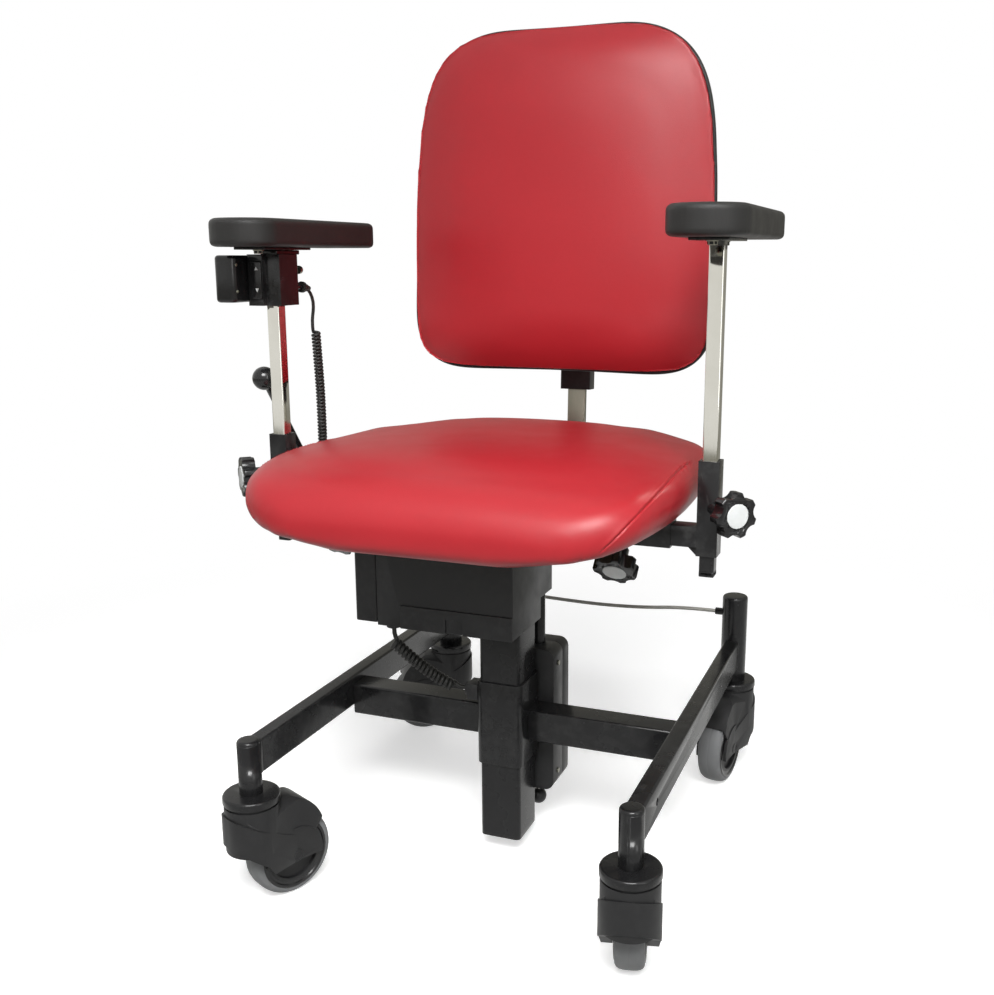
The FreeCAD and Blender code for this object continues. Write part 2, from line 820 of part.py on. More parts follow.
def control_box():
    top = "column_top"
    hull = block("box_left", "box_right", "box_front", "box_back", "box_bottom", top)
    step = block("box_left - overrun", "box_right + overrun", "box_step_back", "box_back + overrun",
                 "box_bottom - overrun", "box_bottom + box_step_height")
    lower = block("box_left + box_wall", "box_right - box_wall", "box_front + box_wall",
                  "box_step_back - box_wall", "box_bottom + box_wall", "column_top + overrun")
    upper = block("box_left + box_wall", "box_right - box_wall", "box_step_back - 2 * box_wall",
                  "box_back - box_wall", "box_bottom + box_step_height + box_wall",
                  "column_top + overrun")
    column = block("-column_width / 2 - press_clearance", "column_width / 2 + press_clearance",
                   "column_y - column_depth / 2 - press_clearance",
                   "column_y + column_depth / 2 + press_clearance",
                   "box_bottom - overrun", "column_top + overrun")
    lip = block("lip_left", "box_right", "box_front - lip_thickness", "box_front", "box_bottom",
                "box_bottom + lip_height")
    notch = block("latch_x - latch_width / 2", "latch_x + latch_width / 2",
                  "box_front - lip_thickness - overrun", "box_front", "box_bottom - overrun",
                  "box_bottom + latch_height")
    tub = cut(hull, step, lower, upper, column)
    gland = rod("gland_radius", "gland_length", "motor_cord_x", "motor_cord_y",
                "box_bottom - gland_length")
    keep(fuse(tub, cut(lip, notch), gland), "control_box")
    pack = bar_body("battery", "battery_width", "box_back - box_front", "battery_corner",
                    "column_top - battery_bottom")
    keep(place(pack, "box_left - battery_width / 2", "(box_front + box_back) / 2", "battery_bottom"),
         "battery_pack")


def knob_solid():
    """A star knob on its own +Z: shank below zero, neck, lobed head and a flush cap."""
    neck_top = size.knob_neck_length
    top = neck_top + size.knob_thickness
    neck = Part.makeCylinder(size.knob_neck_radius, neck_top)
    head = Part.makeCylinder(size.knob_radius, size.knob_thickness, Vector(0, 0, neck_top))
    rims = [e for e in head.Edges if e.Closed]
    head = head.makeFillet(size.knob_round, rims)
    for index in range(int(size.knob_lobes)):
        angle = 2 * math.pi * index / size.knob_lobes
        centre = Vector(size.scallop_offset * math.cos(angle), size.scallop_offset * math.sin(angle),
                        neck_top - size.overrun)
        scallop = Part.makeCylinder(size.scallop_radius, size.knob_thickness + 2 * size.overrun, centre)
        head = head.cut(scallop)
    recess = Part.makeCylinder(size.knob_cap_radius, size.knob_cap_height,
                               Vector(0, 0, top - size.knob_cap_height))
    return neck.fuse(head).cut(recess).removeSplitter(), recess


def star_knob(label, seat, axis, shank):
    """A knob whose neck starts at the seat point and whose shank runs back from it."""
    head, cap = knob_solid()
    pin = Part.makeCylinder(size.knob_shank_radius, shank, Vector(0, 0, -shank))
    solid = head.fuse(pin).removeSplitter()
    turn = Rotation(Vector(0, 0, 1), axis)
    return shape_part(label, Part.makeCompound([solid, cap]), Placement(seat, turn))


def corner_boss(half, reach, hollow_half):
    """How far along a square tube's diagonal its clamp boss ends, and where its hollow corner lies."""
    diagonal = math.sqrt(2)
    return half * diagonal + reach, hollow_half * diagonal


def boss_on(centre, axis, half, hollow_half):
    end, inner = corner_boss(half, size.boss_reach, hollow_half)
    start = inner - size.boss_radius / 2
    outer = Part.makeCylinder(size.boss_radius, end - start, centre + axis * start, axis)
    hole = Part.makeCylinder(size.knob_shank_radius + size.running_clearance, end + size.overrun,
                             centre, axis)
    return outer, hole, end, inner


def square_bar(half, length, start, along):
    """A square solid bar from a start point along X or Z."""
    if along == "x":
        return Part.makeBox(length, 2 * half, 2 * half, start - Vector(0, half, half))
    return Part.makeBox(2 * half, 2 * half, length, start - Vector(half, half, 0))


def receiver():
    half = size.receiver_size / 2
    hollow = half - size.receiver_wall
    centre_z = size.pan_bottom - half
    length = 2 * size.receiver_half_length
    tube = square_bar(half, length, Vector(-size.receiver_half_length, size.arm_y, centre_z), "x")
    bore = square_bar(hollow, length + 2 * size.overrun,
                      Vector(-size.receiver_half_length - size.overrun, size.arm_y, centre_z), "x")
    axis = Vector(0, -1, -1).normalize()
    holes = []
    for sign in (-1, 1):
        centre = Vector(sign * size.width_knob_x, size.arm_y, centre_z)
        outer, hole, end, inner = boss_on(centre, axis, half, hollow)
        tube = tube.fuse(outer)
        holes.append(hole)
        side = "left" if sign < 0 else "right"
        star_knob(f"width_knob_{side}", centre + axis * (end + size.running_clearance), axis,
                  end - inner)
    solid = tube.cut(bore)
    for hole in holes:
        solid = solid.cut(hole)
    shape_part("arm_receiver", solid.removeSplitter())


def arm_brackets():
    half = size.socket_size / 2
    hollow = size.arm_tube / 2 + size.running_clearance
    bar_half = size.bar_size / 2
    bar_z = size.pan_bottom - size.receiver_size / 2
    height = size.socket_top - size.socket_bottom
    for side, sign in (("left", -1), ("right", 1)):
        centre = Vector(sign * size.arm_x, size.arm_y, size.socket_bottom)
        socket = square_bar(half, height, centre, "z")
        inner_x = size.bar_inner_end
        outer_x = size.arm_x - half
        start = min(sign * inner_x, sign * outer_x)
        bar = square_bar(bar_half, outer_x - inner_x, Vector(start, size.arm_y, bar_z), "x")
        face = sign * (size.arm_x - half)
        under = bar_z - bar_half
        web = Part.makePolygon([
            Vector(face, 0, under), Vector(face - sign * size.gusset_size, 0, under),
            Vector(face, 0, under - size.gusset_size), Vector(face, 0, under),
        ])
        gusset = Part.Face(web).extrude(Vector(0, size.gusset_thickness, 0))
        gusset.translate(Vector(0, size.arm_y - size.gusset_thickness / 2, 0))
        axis = Vector(sign, -1, 0).normalize()
        level = Vector(centre.x, centre.y, size.height_knob_z)
        outer, hole, end, inner = boss_on(level, axis, half, hollow)
        bore = square_bar(hollow, height + 2 * size.overrun, centre - Vector(0, 0, size.overrun), "z")
        solid = socket.fuse([gusset, outer]).cut(bore).cut(hole).removeSplitter()
        shape_part(f"arm_bracket_{side}", Part.makeCompound([solid, bar]))
        star_knob(f"height_knob_{side}", level + axis * (end + size.running_clearance), axis,
                  end - inner)


def arm_posts():
    for side, sign in (("left", "-"), ("right", "")):
        lift = "0" if side == "left" else "right_arm_raise"
        low = f"arm_tube_bottom + {lift}"
        under = f"pad_bottom + {lift}"
        tube = bar_body("arm_tube", "arm_tube", "arm_tube", "arm_tube_corner",
                        "pad_bottom - plate_thickness - arm_tube_bottom - arm_plug_height",
                        "arm_tube_wall")
        keep(place(tube, f"{sign}arm_x", "arm_y", f"{low} + arm_plug_height"), f"arm_post_{side}")
        plug = bar_body("arm_plug", "arm_tube", "arm_tube", "arm_tube_corner", "arm_plug_height")
        place(plug, f"{sign}arm_x", "arm_y", low)
        plate = block(f"{sign}arm_x - plate_width / 2", f"{sign}arm_x + plate_width / 2",
                      "arm_y - plate_length / 2", "arm_y + plate_length / 2",
                      f"{under} - plate_thickness", under)
        screws = []
        for step in ("-", "+"):
            screws.append(rod("plate_screw_radius", "plate_screw_height", f"{sign}arm_x",
                              f"arm_y {step} plate_screw_pitch / 2",
                              f"{under} - plate_thickness - plate_screw_height"))
        keep(group(plug, fuse(plate, *screws)), f"arm_fittings_{side}")
        arm_pad(side, sign, under)


def arm_pad(side, sign, under):
    """A moulded pad: round nose, squarer tail and eased edges all round."""
    half = size.pad_width / 2
    nose, tail = size.pad_nose_radius, size.pad_tail_radius
    front, back = size.pad_front, size.pad_back
    corners = [
        (Vector(half - nose, front + nose, 0), nose, 0, -90),
        (Vector(nose - half, front + nose, 0), nose, -90, -180),
        (Vector(tail - half, back - tail, 0), tail, 180, 90),
        (Vector(half - tail, back - tail, 0), tail, 90, 0),
    ]
    outline = []
    for centre, radius, first, last in corners:
        begin, middle, end = (
            centre + Vector(math.cos(math.radians(a)), math.sin(math.radians(a)), 0) * radius
            for a in (first, (first + last) / 2, last)
        )
        outline += [(begin, middle), (end, None)]
    solid = Part.Face(section_wire(outline)).extrude(Vector(0, 0, size.pad_thickness))
    rims = [e for e in solid.Edges if abs(e.Vertexes[0].Z - e.Vertexes[-1].Z) < size.press_clearance]
    solid = solid.makeFillet(size.pad_edge_round, rims)
    shape_part(f"arm_pad_{side}", solid)
    place(parts[-1], f"{sign}arm_x", "0", under)


def handset():
    clamp = bar_body("clamp", "clamp_right - clamp_left", "clamp_back - clamp_front", "clamp_corner",
                     "clamp_top - clamp_bottom")
    place(clamp, "(clamp_left + clamp_right) / 2", "(clamp_front + clamp_back) / 2", "clamp_bottom")
    half = "(arm_tube / 2 + press_clearance)"
    hole = block(f"-arm_x - {half}", f"-arm_x + {half}", f"arm_y - {half}", f"arm_y + {half}",
                 "clamp_bottom - overrun", "clamp_top + overrun")
    middle = "(clamp_bottom + clamp_top) / 2"
    recess = block("rocker_x - rocker_width / 2 - running_clearance",
                   "rocker_x + rocker_width / 2 + running_clearance",
                   "clamp_front - overrun", "clamp_front + rocker_recess + rocker_tilt / 2",
                   f"{middle} - rocker_height / 2 - running_clearance",
                   f"{middle} + rocker_height / 2 + running_clearance")
    relief = cone("relief_radius", "relief_tip_radius", "relief_length",
                  "relief_x", "clamp_back", "relief_z", "y")
    keep(fuse(cut(clamp, hole, recess), relief), "handset_clamp")
    rocker = block("rocker_x - rocker_width / 2", "rocker_x + rocker_width / 2",
                   "clamp_front + rocker_recess - rocker_thickness", "clamp_front + rocker_recess",
                   f"{middle} - rocker_height / 2", f"{middle} + rocker_height / 2")
    keep(rocker, "handset_rocker")
    body = bar_body("handset", "handset_width", "handset_back - handset_front", "handset_corner",
                    "handset_top - handset_bottom")
    place(body, "clamp_left - handset_width / 2", "(handset_front + handset_back) / 2", "handset_bottom")
    keep(body, "handset_body")


LEVER_FACE = "(-arm_x - socket_size / 2 - lever_plate_thickness)"
LEVER_X = f"({LEVER_FACE} - running_clearance - lever_hub_width / 2)"


def brake_lever():
    plate = block(LEVER_FACE, "-arm_x - socket_size / 2", "lever_plate_front", "lever_plate_back",
                  "lever_plate_bottom", "lever_plate_top")
    plate = round_edges(plate, size.lever_plate_corner,
                        lambda e: e.BoundBox.XLength > size.lever_plate_thickness / 2
                        and e.CenterOfMass.y > size.lever_pivot_y)
    pin = rod("lever_pin_radius", "lever_hub_width + running_clearance",
              f"{LEVER_FACE} - lever_hub_width - running_clearance", "lever_pivot_y", "lever_pivot_z", "x")
    plug = block("-arm_x - socket_size / 2", "-arm_x - socket_size / 2 + arm_plug_width",
                 "lever_pivot_y - arm_plug_depth / 2", "lever_pivot_y + arm_plug_depth / 2",
                 "arm_plug_bottom", "arm_plug_top")
    keep(group(fuse(plate, pin), plug), "lever_bracket")
    hub = rod("lever_hub_radius", "lever_hub_width", f"{LEVER_X} - lever_hub_width / 2", "lever_pivot_y",
              "lever_pivot_z", "x")
    bore = rod("lever_pin_radius + press_clearance", "lever_hub_width + 2 * overrun",
               f"{LEVER_X} - lever_hub_width / 2 - overrun", "lever_pivot_y", "lever_pivot_z", "x")
    reach = Vector(0, size.lever_ball_y - size.lever_pivot_y, size.lever_ball_z - size.lever_pivot_z)
    arm = doc.addObject("Part::Cylinder", "lever_rod")
    bind(arm, Radius="lever_rod_radius",
         Height="sqrt((lever_ball_y - lever_pivot_y)^2 + (lever_ball_z - lever_pivot_z)^2)")
    place(arm, LEVER_X, "lever_pivot_y", "lever_pivot_z", Rotation(Vector(0, 0, 1), reach))
    knob = ball("lever_ball_radius", LEVER_X, "lever_ball_y", "lever_ball_z")
    keep(cut(fuse(hub, arm, knob), bore), "brake_lever")


def section_wire(points):
    """A closed wire of lines and three-point arcs; each step names its mid point or None."""
    edges = []
    for index, (start, mid) in enumerate(points):
        end = points[(index + 1) % len(points)][0]
        if mid is None:
            edges.append(Part.LineSegment(start, end).toShape())
        else:
            edges.append(Part.Arc(start, mid, end).toShape())
    return Part.Wire(edges)


# Seat stations from front to back: place along the length, half width, underside drop, rim fall, crown and
# how far the underside rises toward its edge, each as a share of its own size.
SEAT_SHARES = [
    (0.000, 0.600, 0.45, 0.82, 0.10, 0.15),
    (0.015, 0.730, 0.72, 0.56, 0.30, 0.55),
    (0.060, 0.865, 0.80, 0.27, 0.65, 1.00),
    (0.150, 0.950, 0.50, 0.09, 0.90, 0.85),
    (0.300, 0.995, 0.08, 0.00, 1.00, 0.30),
    (0.550, 0.985, 0.00, 0.00, 1.00, 0.10),
    (0.800, 0.950, 0.00, 0.00, 0.95, 0.10),
    (0.930, 0.900, 0.00, 0.03, 0.70, 0.10),
    (0.980, 0.840, -0.10, 0.14, 0.35, 0.10),
    (1.000, 0.770, -0.45, 0.34, 0.10, 0.05),
]
SEAT_FLAT_SHARE = 0.5


def seat_cushion():
    length = size.seat_back - size.seat_front
    side_height = size.seat_rim - size.seat_bottom
    wires = []
    for along_share, width_share, drop_share, fall_share, crown_share, rise_share in SEAT_SHARES:
        y = size.seat_front + along_share * length
        half = width_share * size.seat_half_width
        low = size.seat_bottom - drop_share * size.seat_front_drop
        high = size.seat_rim - fall_share * side_height
        top = high + crown_share * size.seat_crown
        draw = size.seat_draw * min(1, (high - low) / side_height)
        edge = low + size.seat_edge_rise * rise_share
        bulge = (edge + high) / 2
        flat, rim = SEAT_FLAT_SHARE * half, half - draw
        wires.append(section_wire([
            (Vector(-flat, y, low), None),
            (Vector(flat, y, low), None),
            (Vector(rim, y, edge), Vector(half, y, bulge)),
            (Vector(rim, y, high), Vector(0, y, top)),
            (Vector(-rim, y, high), Vector(-half, y, bulge)),
            (Vector(-rim, y, edge), None),
        ]))
    solid = Part.makeLoft(wires, True, False)
    gap = size.running_clearance
    pocket = Part.makeBox(2 * (size.pan_half_width + gap), size.pan_back - size.pan_front + 2 * gap,
                          size.pan_thickness + gap + size.seat_front_drop + size.overrun,
                          Vector(-size.pan_half_width - gap, size.pan_front - gap,
                                 size.pan_bottom - size.seat_front_drop - size.overrun))
    shape_part("seat_cushion", solid.cut(pocket))


# Back stations from foot to crown: place along the height and half width, then the rim's depth and the
# swell in front of it, each as a share of its own size.
BACK_SHARES = [
    (0.000, 0.740, 0.45, 0.10),
    (0.012, 0.860, 0.75, 0.35),
    (0.045, 0.950, 0.95, 0.65),
    (0.120, 1.000, 1.00, 0.95),
    (0.300, 1.000, 1.00, 1.00),
    (0.620, 0.980, 1.00, 1.00),
    (0.735, 0.955, 1.00, 0.95),
    (0.830, 0.912, 1.00, 0.85),
    (0.898, 0.848, 0.98, 0.70),
    (0.948, 0.752, 0.90, 0.48),
    (0.980, 0.625, 0.72, 0.25),
    (1.000, 0.470, 0.45, 0.08),
]


def leaned():
    """The fixed lean of the whole back about its pin."""
    pin = Vector(0, size.back_pin_y, size.back_pin_z)
    return Placement(Vector(), Rotation(Vector(1, 0, 0), -size.back_lean), pin)


def back_upholstery():
    cushion, shell = [], []
    edge = size.back_edge_y
    front = edge + size.running_clearance
    for up_share, width_share, rim_share, swell_share in BACK_SHARES:
        z = size.back_bottom + up_share * size.back_height
        half = width_share * size.back_half_width
        rim = edge - rim_share * size.back_rim_depth
        face = rim - swell_share * size.back_crown
        tuck = size.back_rim_depth * rim_share / 2
        cushion.append(section_wire([
            (Vector(half - tuck, edge, z), None),
            (Vector(tuck - half, edge, z), Vector(-half, (edge + rim) / 2, z)),
            (Vector(tuck - half, rim, z), Vector(0, face, z)),
            (Vector(half - tuck, rim, z), Vector(half, (edge + rim) / 2, z)),
        ]))
        depth = size.shell_thickness * rim_share
        wide = half - size.shell_inset
        ease_x, ease_y = wide - depth * (1 - SLOPE), front + depth * SLOPE
        shell.append(section_wire([
            (Vector(-wide, front, z), None),
            (Vector(wide, front, z), Vector(ease_x, ease_y, z)),
            (Vector(wide - depth, front + depth, z), None),
            (Vector(depth - wide, front + depth, z), Vector(-ease_x, ease_y, z)),
        ]))
    shape_part("back_cushion", Part.makeLoft(cushion[::-1], True, False), leaned())
    shape_part("back_shell", Part.makeLoft(shell, True, True), leaned())


def back_bar():
    half_x, thick, bend = size.back_bar_width / 2, size.back_bar_thickness, size.back_bar_bend
    y1, z0 = size.back_bar_y + thick / 2, size.back_pin_z - thick / 2
    y0, z1 = y1 - thick, z0 + thick
    inner, outer = bend, bend + thick
    corner = Vector(-half_x, y1 - outer, z0 + outer)
    outline = section_wire([
        (Vector(-half_x, size.back_bar_front, z0), None),
        (Vector(-half_x, y1 - outer, z0), corner + Vector(0, SLOPE, -SLOPE) * outer),
        (Vector(-half_x, y1, z0 + outer), None),
        (Vector(-half_x, y1, size.back_bar_top), None),
        (Vector(-half_x, y0, size.back_bar_top), None),
        (Vector(-half_x, y0, z1 + inner), corner + Vector(0, SLOPE, -SLOPE) * inner),
        (Vector(-half_x, y0 - inner, z1), None),
        (Vector(-half_x, size.back_bar_front, z1), None),
    ])
    solid = Part.Face(outline).extrude(Vector(2 * half_x, 0, 0))
    across = Vector(1, 0, 0)
    end = Vector(-half_x, size.back_pin_y, size.back_pin_z)
    eye = Part.makeCylinder(size.back_pin_radius + size.press_clearance, 2 * half_x + 2 * size.overrun,
                            end - across * size.overrun, across)
    eye_wall = Part.makeCylinder(2 * size.back_pin_radius, 2 * half_x, end, across)
    shape_part("back_bar", solid.fuse(eye_wall).cut(eye).removeSplitter(), leaned())


def back_bracket():
    half = "back_bracket_half_width"
    slot = "back_bar_width / 2 + running_clearance"
    hull = block(f"-{half}", half, "back_bracket_front", "back_bracket_back",
                 "back_bracket_bottom", "pan_bottom")
    room = block(f"-({slot})", slot,
                 "back_bracket_front + back_bracket_roof", "back_bracket_back + overrun",
                 "back_bracket_bottom - overrun", "pan_bottom - back_bracket_roof")
    pin = rod("back_pin_radius", f"2 * {half}", f"-{half}", "back_pin_y", "back_pin_z", "x")
    keep(fuse(cut(hull, room), pin), "back_bracket")


def back_sleeve():
    half = size.back_sleeve_half_width
    gap = size.running_clearance
    thick = size.back_bar_thickness / 2 + gap
    front = size.back_edge_y + size.running_clearance + size.shell_thickness
    back = size.back_bar_y + thick + size.back_sleeve_wall
    height = size.back_sleeve_top - size.back_sleeve_bottom
    low_front = Vector(-half, size.back_bar_y - thick - size.back_sleeve_wall, size.back_sleeve_bottom)
    post = Part.makeBox(2 * half, back - low_front.y, height, low_front)
    arm_low = size.back_bottom + size.back_height * BACK_SHARES[3][0]
    arm = Part.makeBox(2 * half, low_front.y - front, size.back_sleeve_top - arm_low,
                       Vector(-half, front, arm_low))
    slot = Part.makeBox(size.back_bar_width + 2 * gap, 2 * thick, height + 2 * size.overrun,
                        Vector(-size.back_bar_width / 2 - gap, size.back_bar_y - thick,
                               size.back_sleeve_bottom - size.overrun))
    axis = Vector(0, 1, 0)
    seat = Vector(0, back, size.back_knob_z)
    hole = Part.makeCylinder(size.knob_shank_radius + gap, size.back_sleeve_wall + 2 * size.overrun,
                             seat - axis * (size.back_sleeve_wall + size.overrun), axis)
    shape_part("back_sleeve", post.fuse(arm).cut(slot).cut(hole).removeSplitter(), leaned())
    knob = star_knob("back_knob", seat + axis * gap, axis, size.back_sleeve_wall)
    knob.Placement = leaned().multiply(knob.Placement)


ARC_REACH_SHARE = 0.45
STEEP_SHARE = 0.9
CURL_STEPS = 4
TANGENT_STEP_SHARE = 0.005


def rounded_route(points):
    """Straight runs joined by tangent arcs, each as large as its two runs allow."""
    edges, radii = [], []
    at = points[0]
    for before, corner, after in zip(points, points[1:], points[2:]):
        into, out = corner - before, after - corner
        turn = into.getAngle(out)
        reach = ARC_REACH_SHARE * min(into.Length, out.Length)
        radii.append(reach / math.tan(turn / 2))
        into.normalize()
        out.normalize()
        start, end = corner - into * reach, corner + out * reach
        bisector = (out - into).normalize()
        centre = corner + bisector * (radii[-1] / math.cos(turn / 2))
        middle = centre - bisector * radii[-1]
        edges.append(Part.LineSegment(at, start).toShape())
        edges.append(Part.Arc(start, middle, end).toShape())
        at = end
    edges.append(Part.LineSegment(at, points[-1]).toShape())
    return edges, radii


def biarc(start, start_way, end, end_way):
    """Two arcs that leave the start and reach the end along the given unit directions."""
    chord = end - start
    ways = start_way + end_way
    bend = 2 * (1 - start_way.dot(end_way))
    along = chord.dot(ways)
    reach = (math.sqrt(along * along + bend * chord.dot(chord)) - along) / bend
    first, second = start + start_way * reach, end - end_way * reach
    joint = (first + second) / 2
    arcs = []
    for a, q, b in ((start, first, joint), (joint, second, end)):
        half = (b - a) / 2
        middle = a + half
        turn = (q - a).getAngle(b - q)
        rise = (q - middle).normalize() * (half.Length * math.tan(turn / 4))
        arcs.append(Part.Arc(a, middle + rise, b).toShape())
    return arcs


def tube_along(edges, radius, label):
    """One round tube along joined edges, its volume compared with its section times its length."""
    path = Part.Wire(edges)
    start = path.Vertexes[0].Point
    way = edges[0].tangentAt(edges[0].FirstParameter)
    profile = Part.Wire([Part.Circle(start, way, radius).toShape()])
    shell = Part.BRepOffsetAPI.MakePipeShell(path)
    shell.add(profile)
    shell.build()
    shell.makeSolid()
    solid = shell.shape()
    wanted = math.pi * radius * radius * path.Length
    share = solid.Volume / wanted
    print(f"{label}: length {path.Length:.1f} mm, volume {share:.4f} of section times length")
    return solid, path


def least_self_gap(path, radius, apart):
    """The least gap between stretches of a tube that lie further along it than the given distance."""
    step = radius / 2
    points = path.discretize(Distance=step)
    skip = int(apart / step) + 1
    least = min(
        (p - q).Length
        for i, p in enumerate(points)
        for q in points[i + skip:]
    )
    return least - 2 * radius


def curl_points(axis_points, coil_radius, curls, phase):
    """Points and directions on a helix about a gently bent axis, four to a curl."""
    spine = Part.BSplineCurve()
    spine.interpolate(axis_points)
    length = spine.length()
    steps = CURL_STEPS * int(curls)
    places, ways = [], []

    def on_helix(share):
        u = spine.parameterAtDistance(length * share)
        centre, along = spine.value(u), Vector(*spine.tangent(u)[0])
        away = Vector(0, 1, 0) if abs(along.y) < STEEP_SHARE else Vector(1, 0, 0)
        side = along.cross(away).normalize()
        other = along.cross(side)
        angle = phase + 2 * math.pi * curls * share
        return centre + (side * math.cos(angle) + other * math.sin(angle)) * coil_radius

    small = TANGENT_STEP_SHARE / steps
    for index in range(steps + 1):
        share = index / steps
        low, high = max(0, share - small), min(1, share + small)
        places.append(on_helix(share))
        ways.append((on_helix(high) - on_helix(low)).normalize())
    return places, ways


def curly_cord(label, lead, axis_points, tail, wire_radius, coil_radius, curls, phase):
    """A lead, a run of curls and a tail as one unbroken tube."""
    places, ways = curl_points(axis_points, coil_radius, curls, phase)
    edges, radii = rounded_route(lead) if len(lead) > 2 else ([Part.LineSegment(*lead).toShape()], [])
    lead_way = (lead[-1] - lead[-2]).normalize()
    tail_way = (tail[1] - tail[0]).normalize()
    stops = [(lead[-1], lead_way), *zip(places, ways), (tail[0], tail_way)]
    for (start, start_way), (end, end_way) in zip(stops, stops[1:]):
        edges += biarc(start, start_way, end, end_way)
    edges.append(Part.LineSegment(tail[0], tail[-1]).toShape())
    solid, path = tube_along(edges, wire_radius, label)
    bends = [e.Curve.Radius for e in edges if hasattr(e.Curve, "Radius")]
    gap = least_self_gap(path, wire_radius, math.pi * coil_radius)
    print(f"{label}: lead radii {[round(r, 1) for r in radii]}, tightest bend {min(bends):.2f} mm, "
          f"least gap to itself {gap:.2f} mm")
    shape_part(label, solid)


# Places that the cords pass, in millimetres, chosen by hand.
HANDSET_LEAD = [
    (-252, -70, 692), (-252, -60, 691), (-251.5, -51, 685),
    (-251, -46, 674), (-252.5, -44.5, 662.5), (-254, -45.5, 653),
]
HANDSET_AXIS = [(-250, -45, 637), (-251, -40, 592), (-252.5, -35, 548), (-255, -31.5, 494)]
CABLE_ROUTE = [
    (-194.5, 268, 234), (-150, 268, 234), (-95, 268.5, 227.5), (-40, 269, 225),
    (25, 268.5, 224), (90, 268, 227), (148, 268, 234), (194.5, 268, 234),
]


def cords():
    spots = [Vector(*p) for p in CABLE_ROUTE]
    edges, radii = rounded_route(spots)
    solid, _ = tube_along(edges, size.cable_radius, "brake_cable")
    print(f"brake_cable: radii {[round(r) for r in radii]}")
    shape_part("brake_cable", solid)

    plug_top = Vector(-size.arm_x - size.socket_size / 2 + size.arm_plug_width / 2,
                      size.lever_pivot_y, size.arm_plug_top)
    wire = 2 * size.handset_wire_radius
    lead = [Vector(*p) for p in HANDSET_LEAD]
    axis = [Vector(*p) for p in HANDSET_AXIS]
    tail = [plug_top + Vector(0, 0, wire), plug_top]
    curly_cord("handset_cord", lead, axis, tail, size.handset_wire_radius, size.handset_coil_radius,
               size.handset_curls, math.pi)

    wire = 2 * size.motor_wire_radius
    half_sleeve = size.column_width / 2 + size.running_clearance + size.glide_thickness + size.sleeve_wall
    top = Vector(size.motor_cord_x, size.motor_cord_y, size.box_bottom - size.gland_length)
    end = Vector(-half_sleeve - size.motor_plug_width - size.gland_length, size.motor_plug_y,
                 size.motor_plug_bottom + size.motor_plug_height / 2)
    lead_in = size.coil_lead_share * wire
    first, last = top - Vector(0, 0, lead_in), end - Vector(lead_in, 0, 0)
    middle = (first + last) / 2 - Vector(0, 0, size.motor_cord_sag)
    lead = [top, top - Vector(0, 0, wire)]
    tail = [end - Vector(wire, 0, 0), end]
    curly_cord("motor_cord", lead, [first, middle, last], tail, size.motor_wire_radius,
               size.motor_coil_radius, size.motor_curls, 0)


def cord_plugs():
    half_sleeve = "(column_width / 2 + running_clearance + glide_thickness + sleeve_wall)"
    right = f"-{half_sleeve}"
    plug = block(f"{right} - motor_plug_width", right, "motor_plug_y - motor_plug_depth / 2",
                 "motor_plug_y + motor_plug_depth / 2", "motor_plug_bottom",
                 "motor_plug_bottom + motor_plug_height")
    gland = rod("gland_radius", "gland_length", f"{right} - motor_plug_width - gland_length", "motor_plug_y",
                "motor_plug_bottom + motor_plug_height / 2", "x")
    keep(fuse(plug, gland), "motor_plug")


frame_posts()
side_rails()
cross_bars()
column_guide()
lift_column()
actuator()
caster_stems()
casters()
control_box()
receiver()
arm_brackets()
arm_posts()
handset()
brake_lever()
seat_cushion()
back_upholstery()
back_bar()
back_bracket()
back_sleeve()
cord_plugs()
cords()

doc.recompute()
failed = [o.Label for o in doc.Objects if {"Invalid", "Error"} & set(o.State)]
failed += [p.Label for p in parts if p.Shape.isNull() or not p.Shape.isValid()]
if failed:
    raise RuntimeError(f"not built: {failed}")
os.makedirs("parts", exist_ok=True)
for part in parts:
    part.Shape.exportStep(f"parts/{part.Label}.step")
print(f"{len(parts)} parts, {sum(len(p.Shape.Solids) for p in parts)} solids")
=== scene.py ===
import json
import math

import bmesh
import bpy
import numpy as np
from mathutils import Matrix, Vector
from mathutils.bvhtree import BVHTree
from mathutils.kdtree import KDTree

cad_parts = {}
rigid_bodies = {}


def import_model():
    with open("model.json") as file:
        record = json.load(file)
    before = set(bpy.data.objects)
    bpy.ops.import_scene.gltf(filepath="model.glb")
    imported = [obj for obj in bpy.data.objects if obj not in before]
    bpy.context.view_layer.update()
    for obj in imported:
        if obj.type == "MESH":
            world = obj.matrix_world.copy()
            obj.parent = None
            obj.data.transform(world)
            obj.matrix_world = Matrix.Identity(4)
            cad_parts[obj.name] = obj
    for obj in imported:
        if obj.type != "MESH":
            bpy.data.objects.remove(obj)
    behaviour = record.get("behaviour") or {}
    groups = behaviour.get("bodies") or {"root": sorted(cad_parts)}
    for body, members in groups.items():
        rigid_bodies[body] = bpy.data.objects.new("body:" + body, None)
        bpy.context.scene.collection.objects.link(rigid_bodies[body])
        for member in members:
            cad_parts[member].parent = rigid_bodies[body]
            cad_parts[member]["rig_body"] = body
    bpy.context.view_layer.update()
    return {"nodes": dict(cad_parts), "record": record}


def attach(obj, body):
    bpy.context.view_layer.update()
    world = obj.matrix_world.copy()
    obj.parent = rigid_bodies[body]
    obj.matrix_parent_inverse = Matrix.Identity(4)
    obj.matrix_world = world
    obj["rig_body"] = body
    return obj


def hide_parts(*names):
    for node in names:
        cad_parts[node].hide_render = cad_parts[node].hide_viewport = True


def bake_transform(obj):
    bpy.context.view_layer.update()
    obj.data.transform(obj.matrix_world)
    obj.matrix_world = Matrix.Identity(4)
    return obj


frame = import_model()

# Looks of the treatment chair, in metres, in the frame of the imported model.

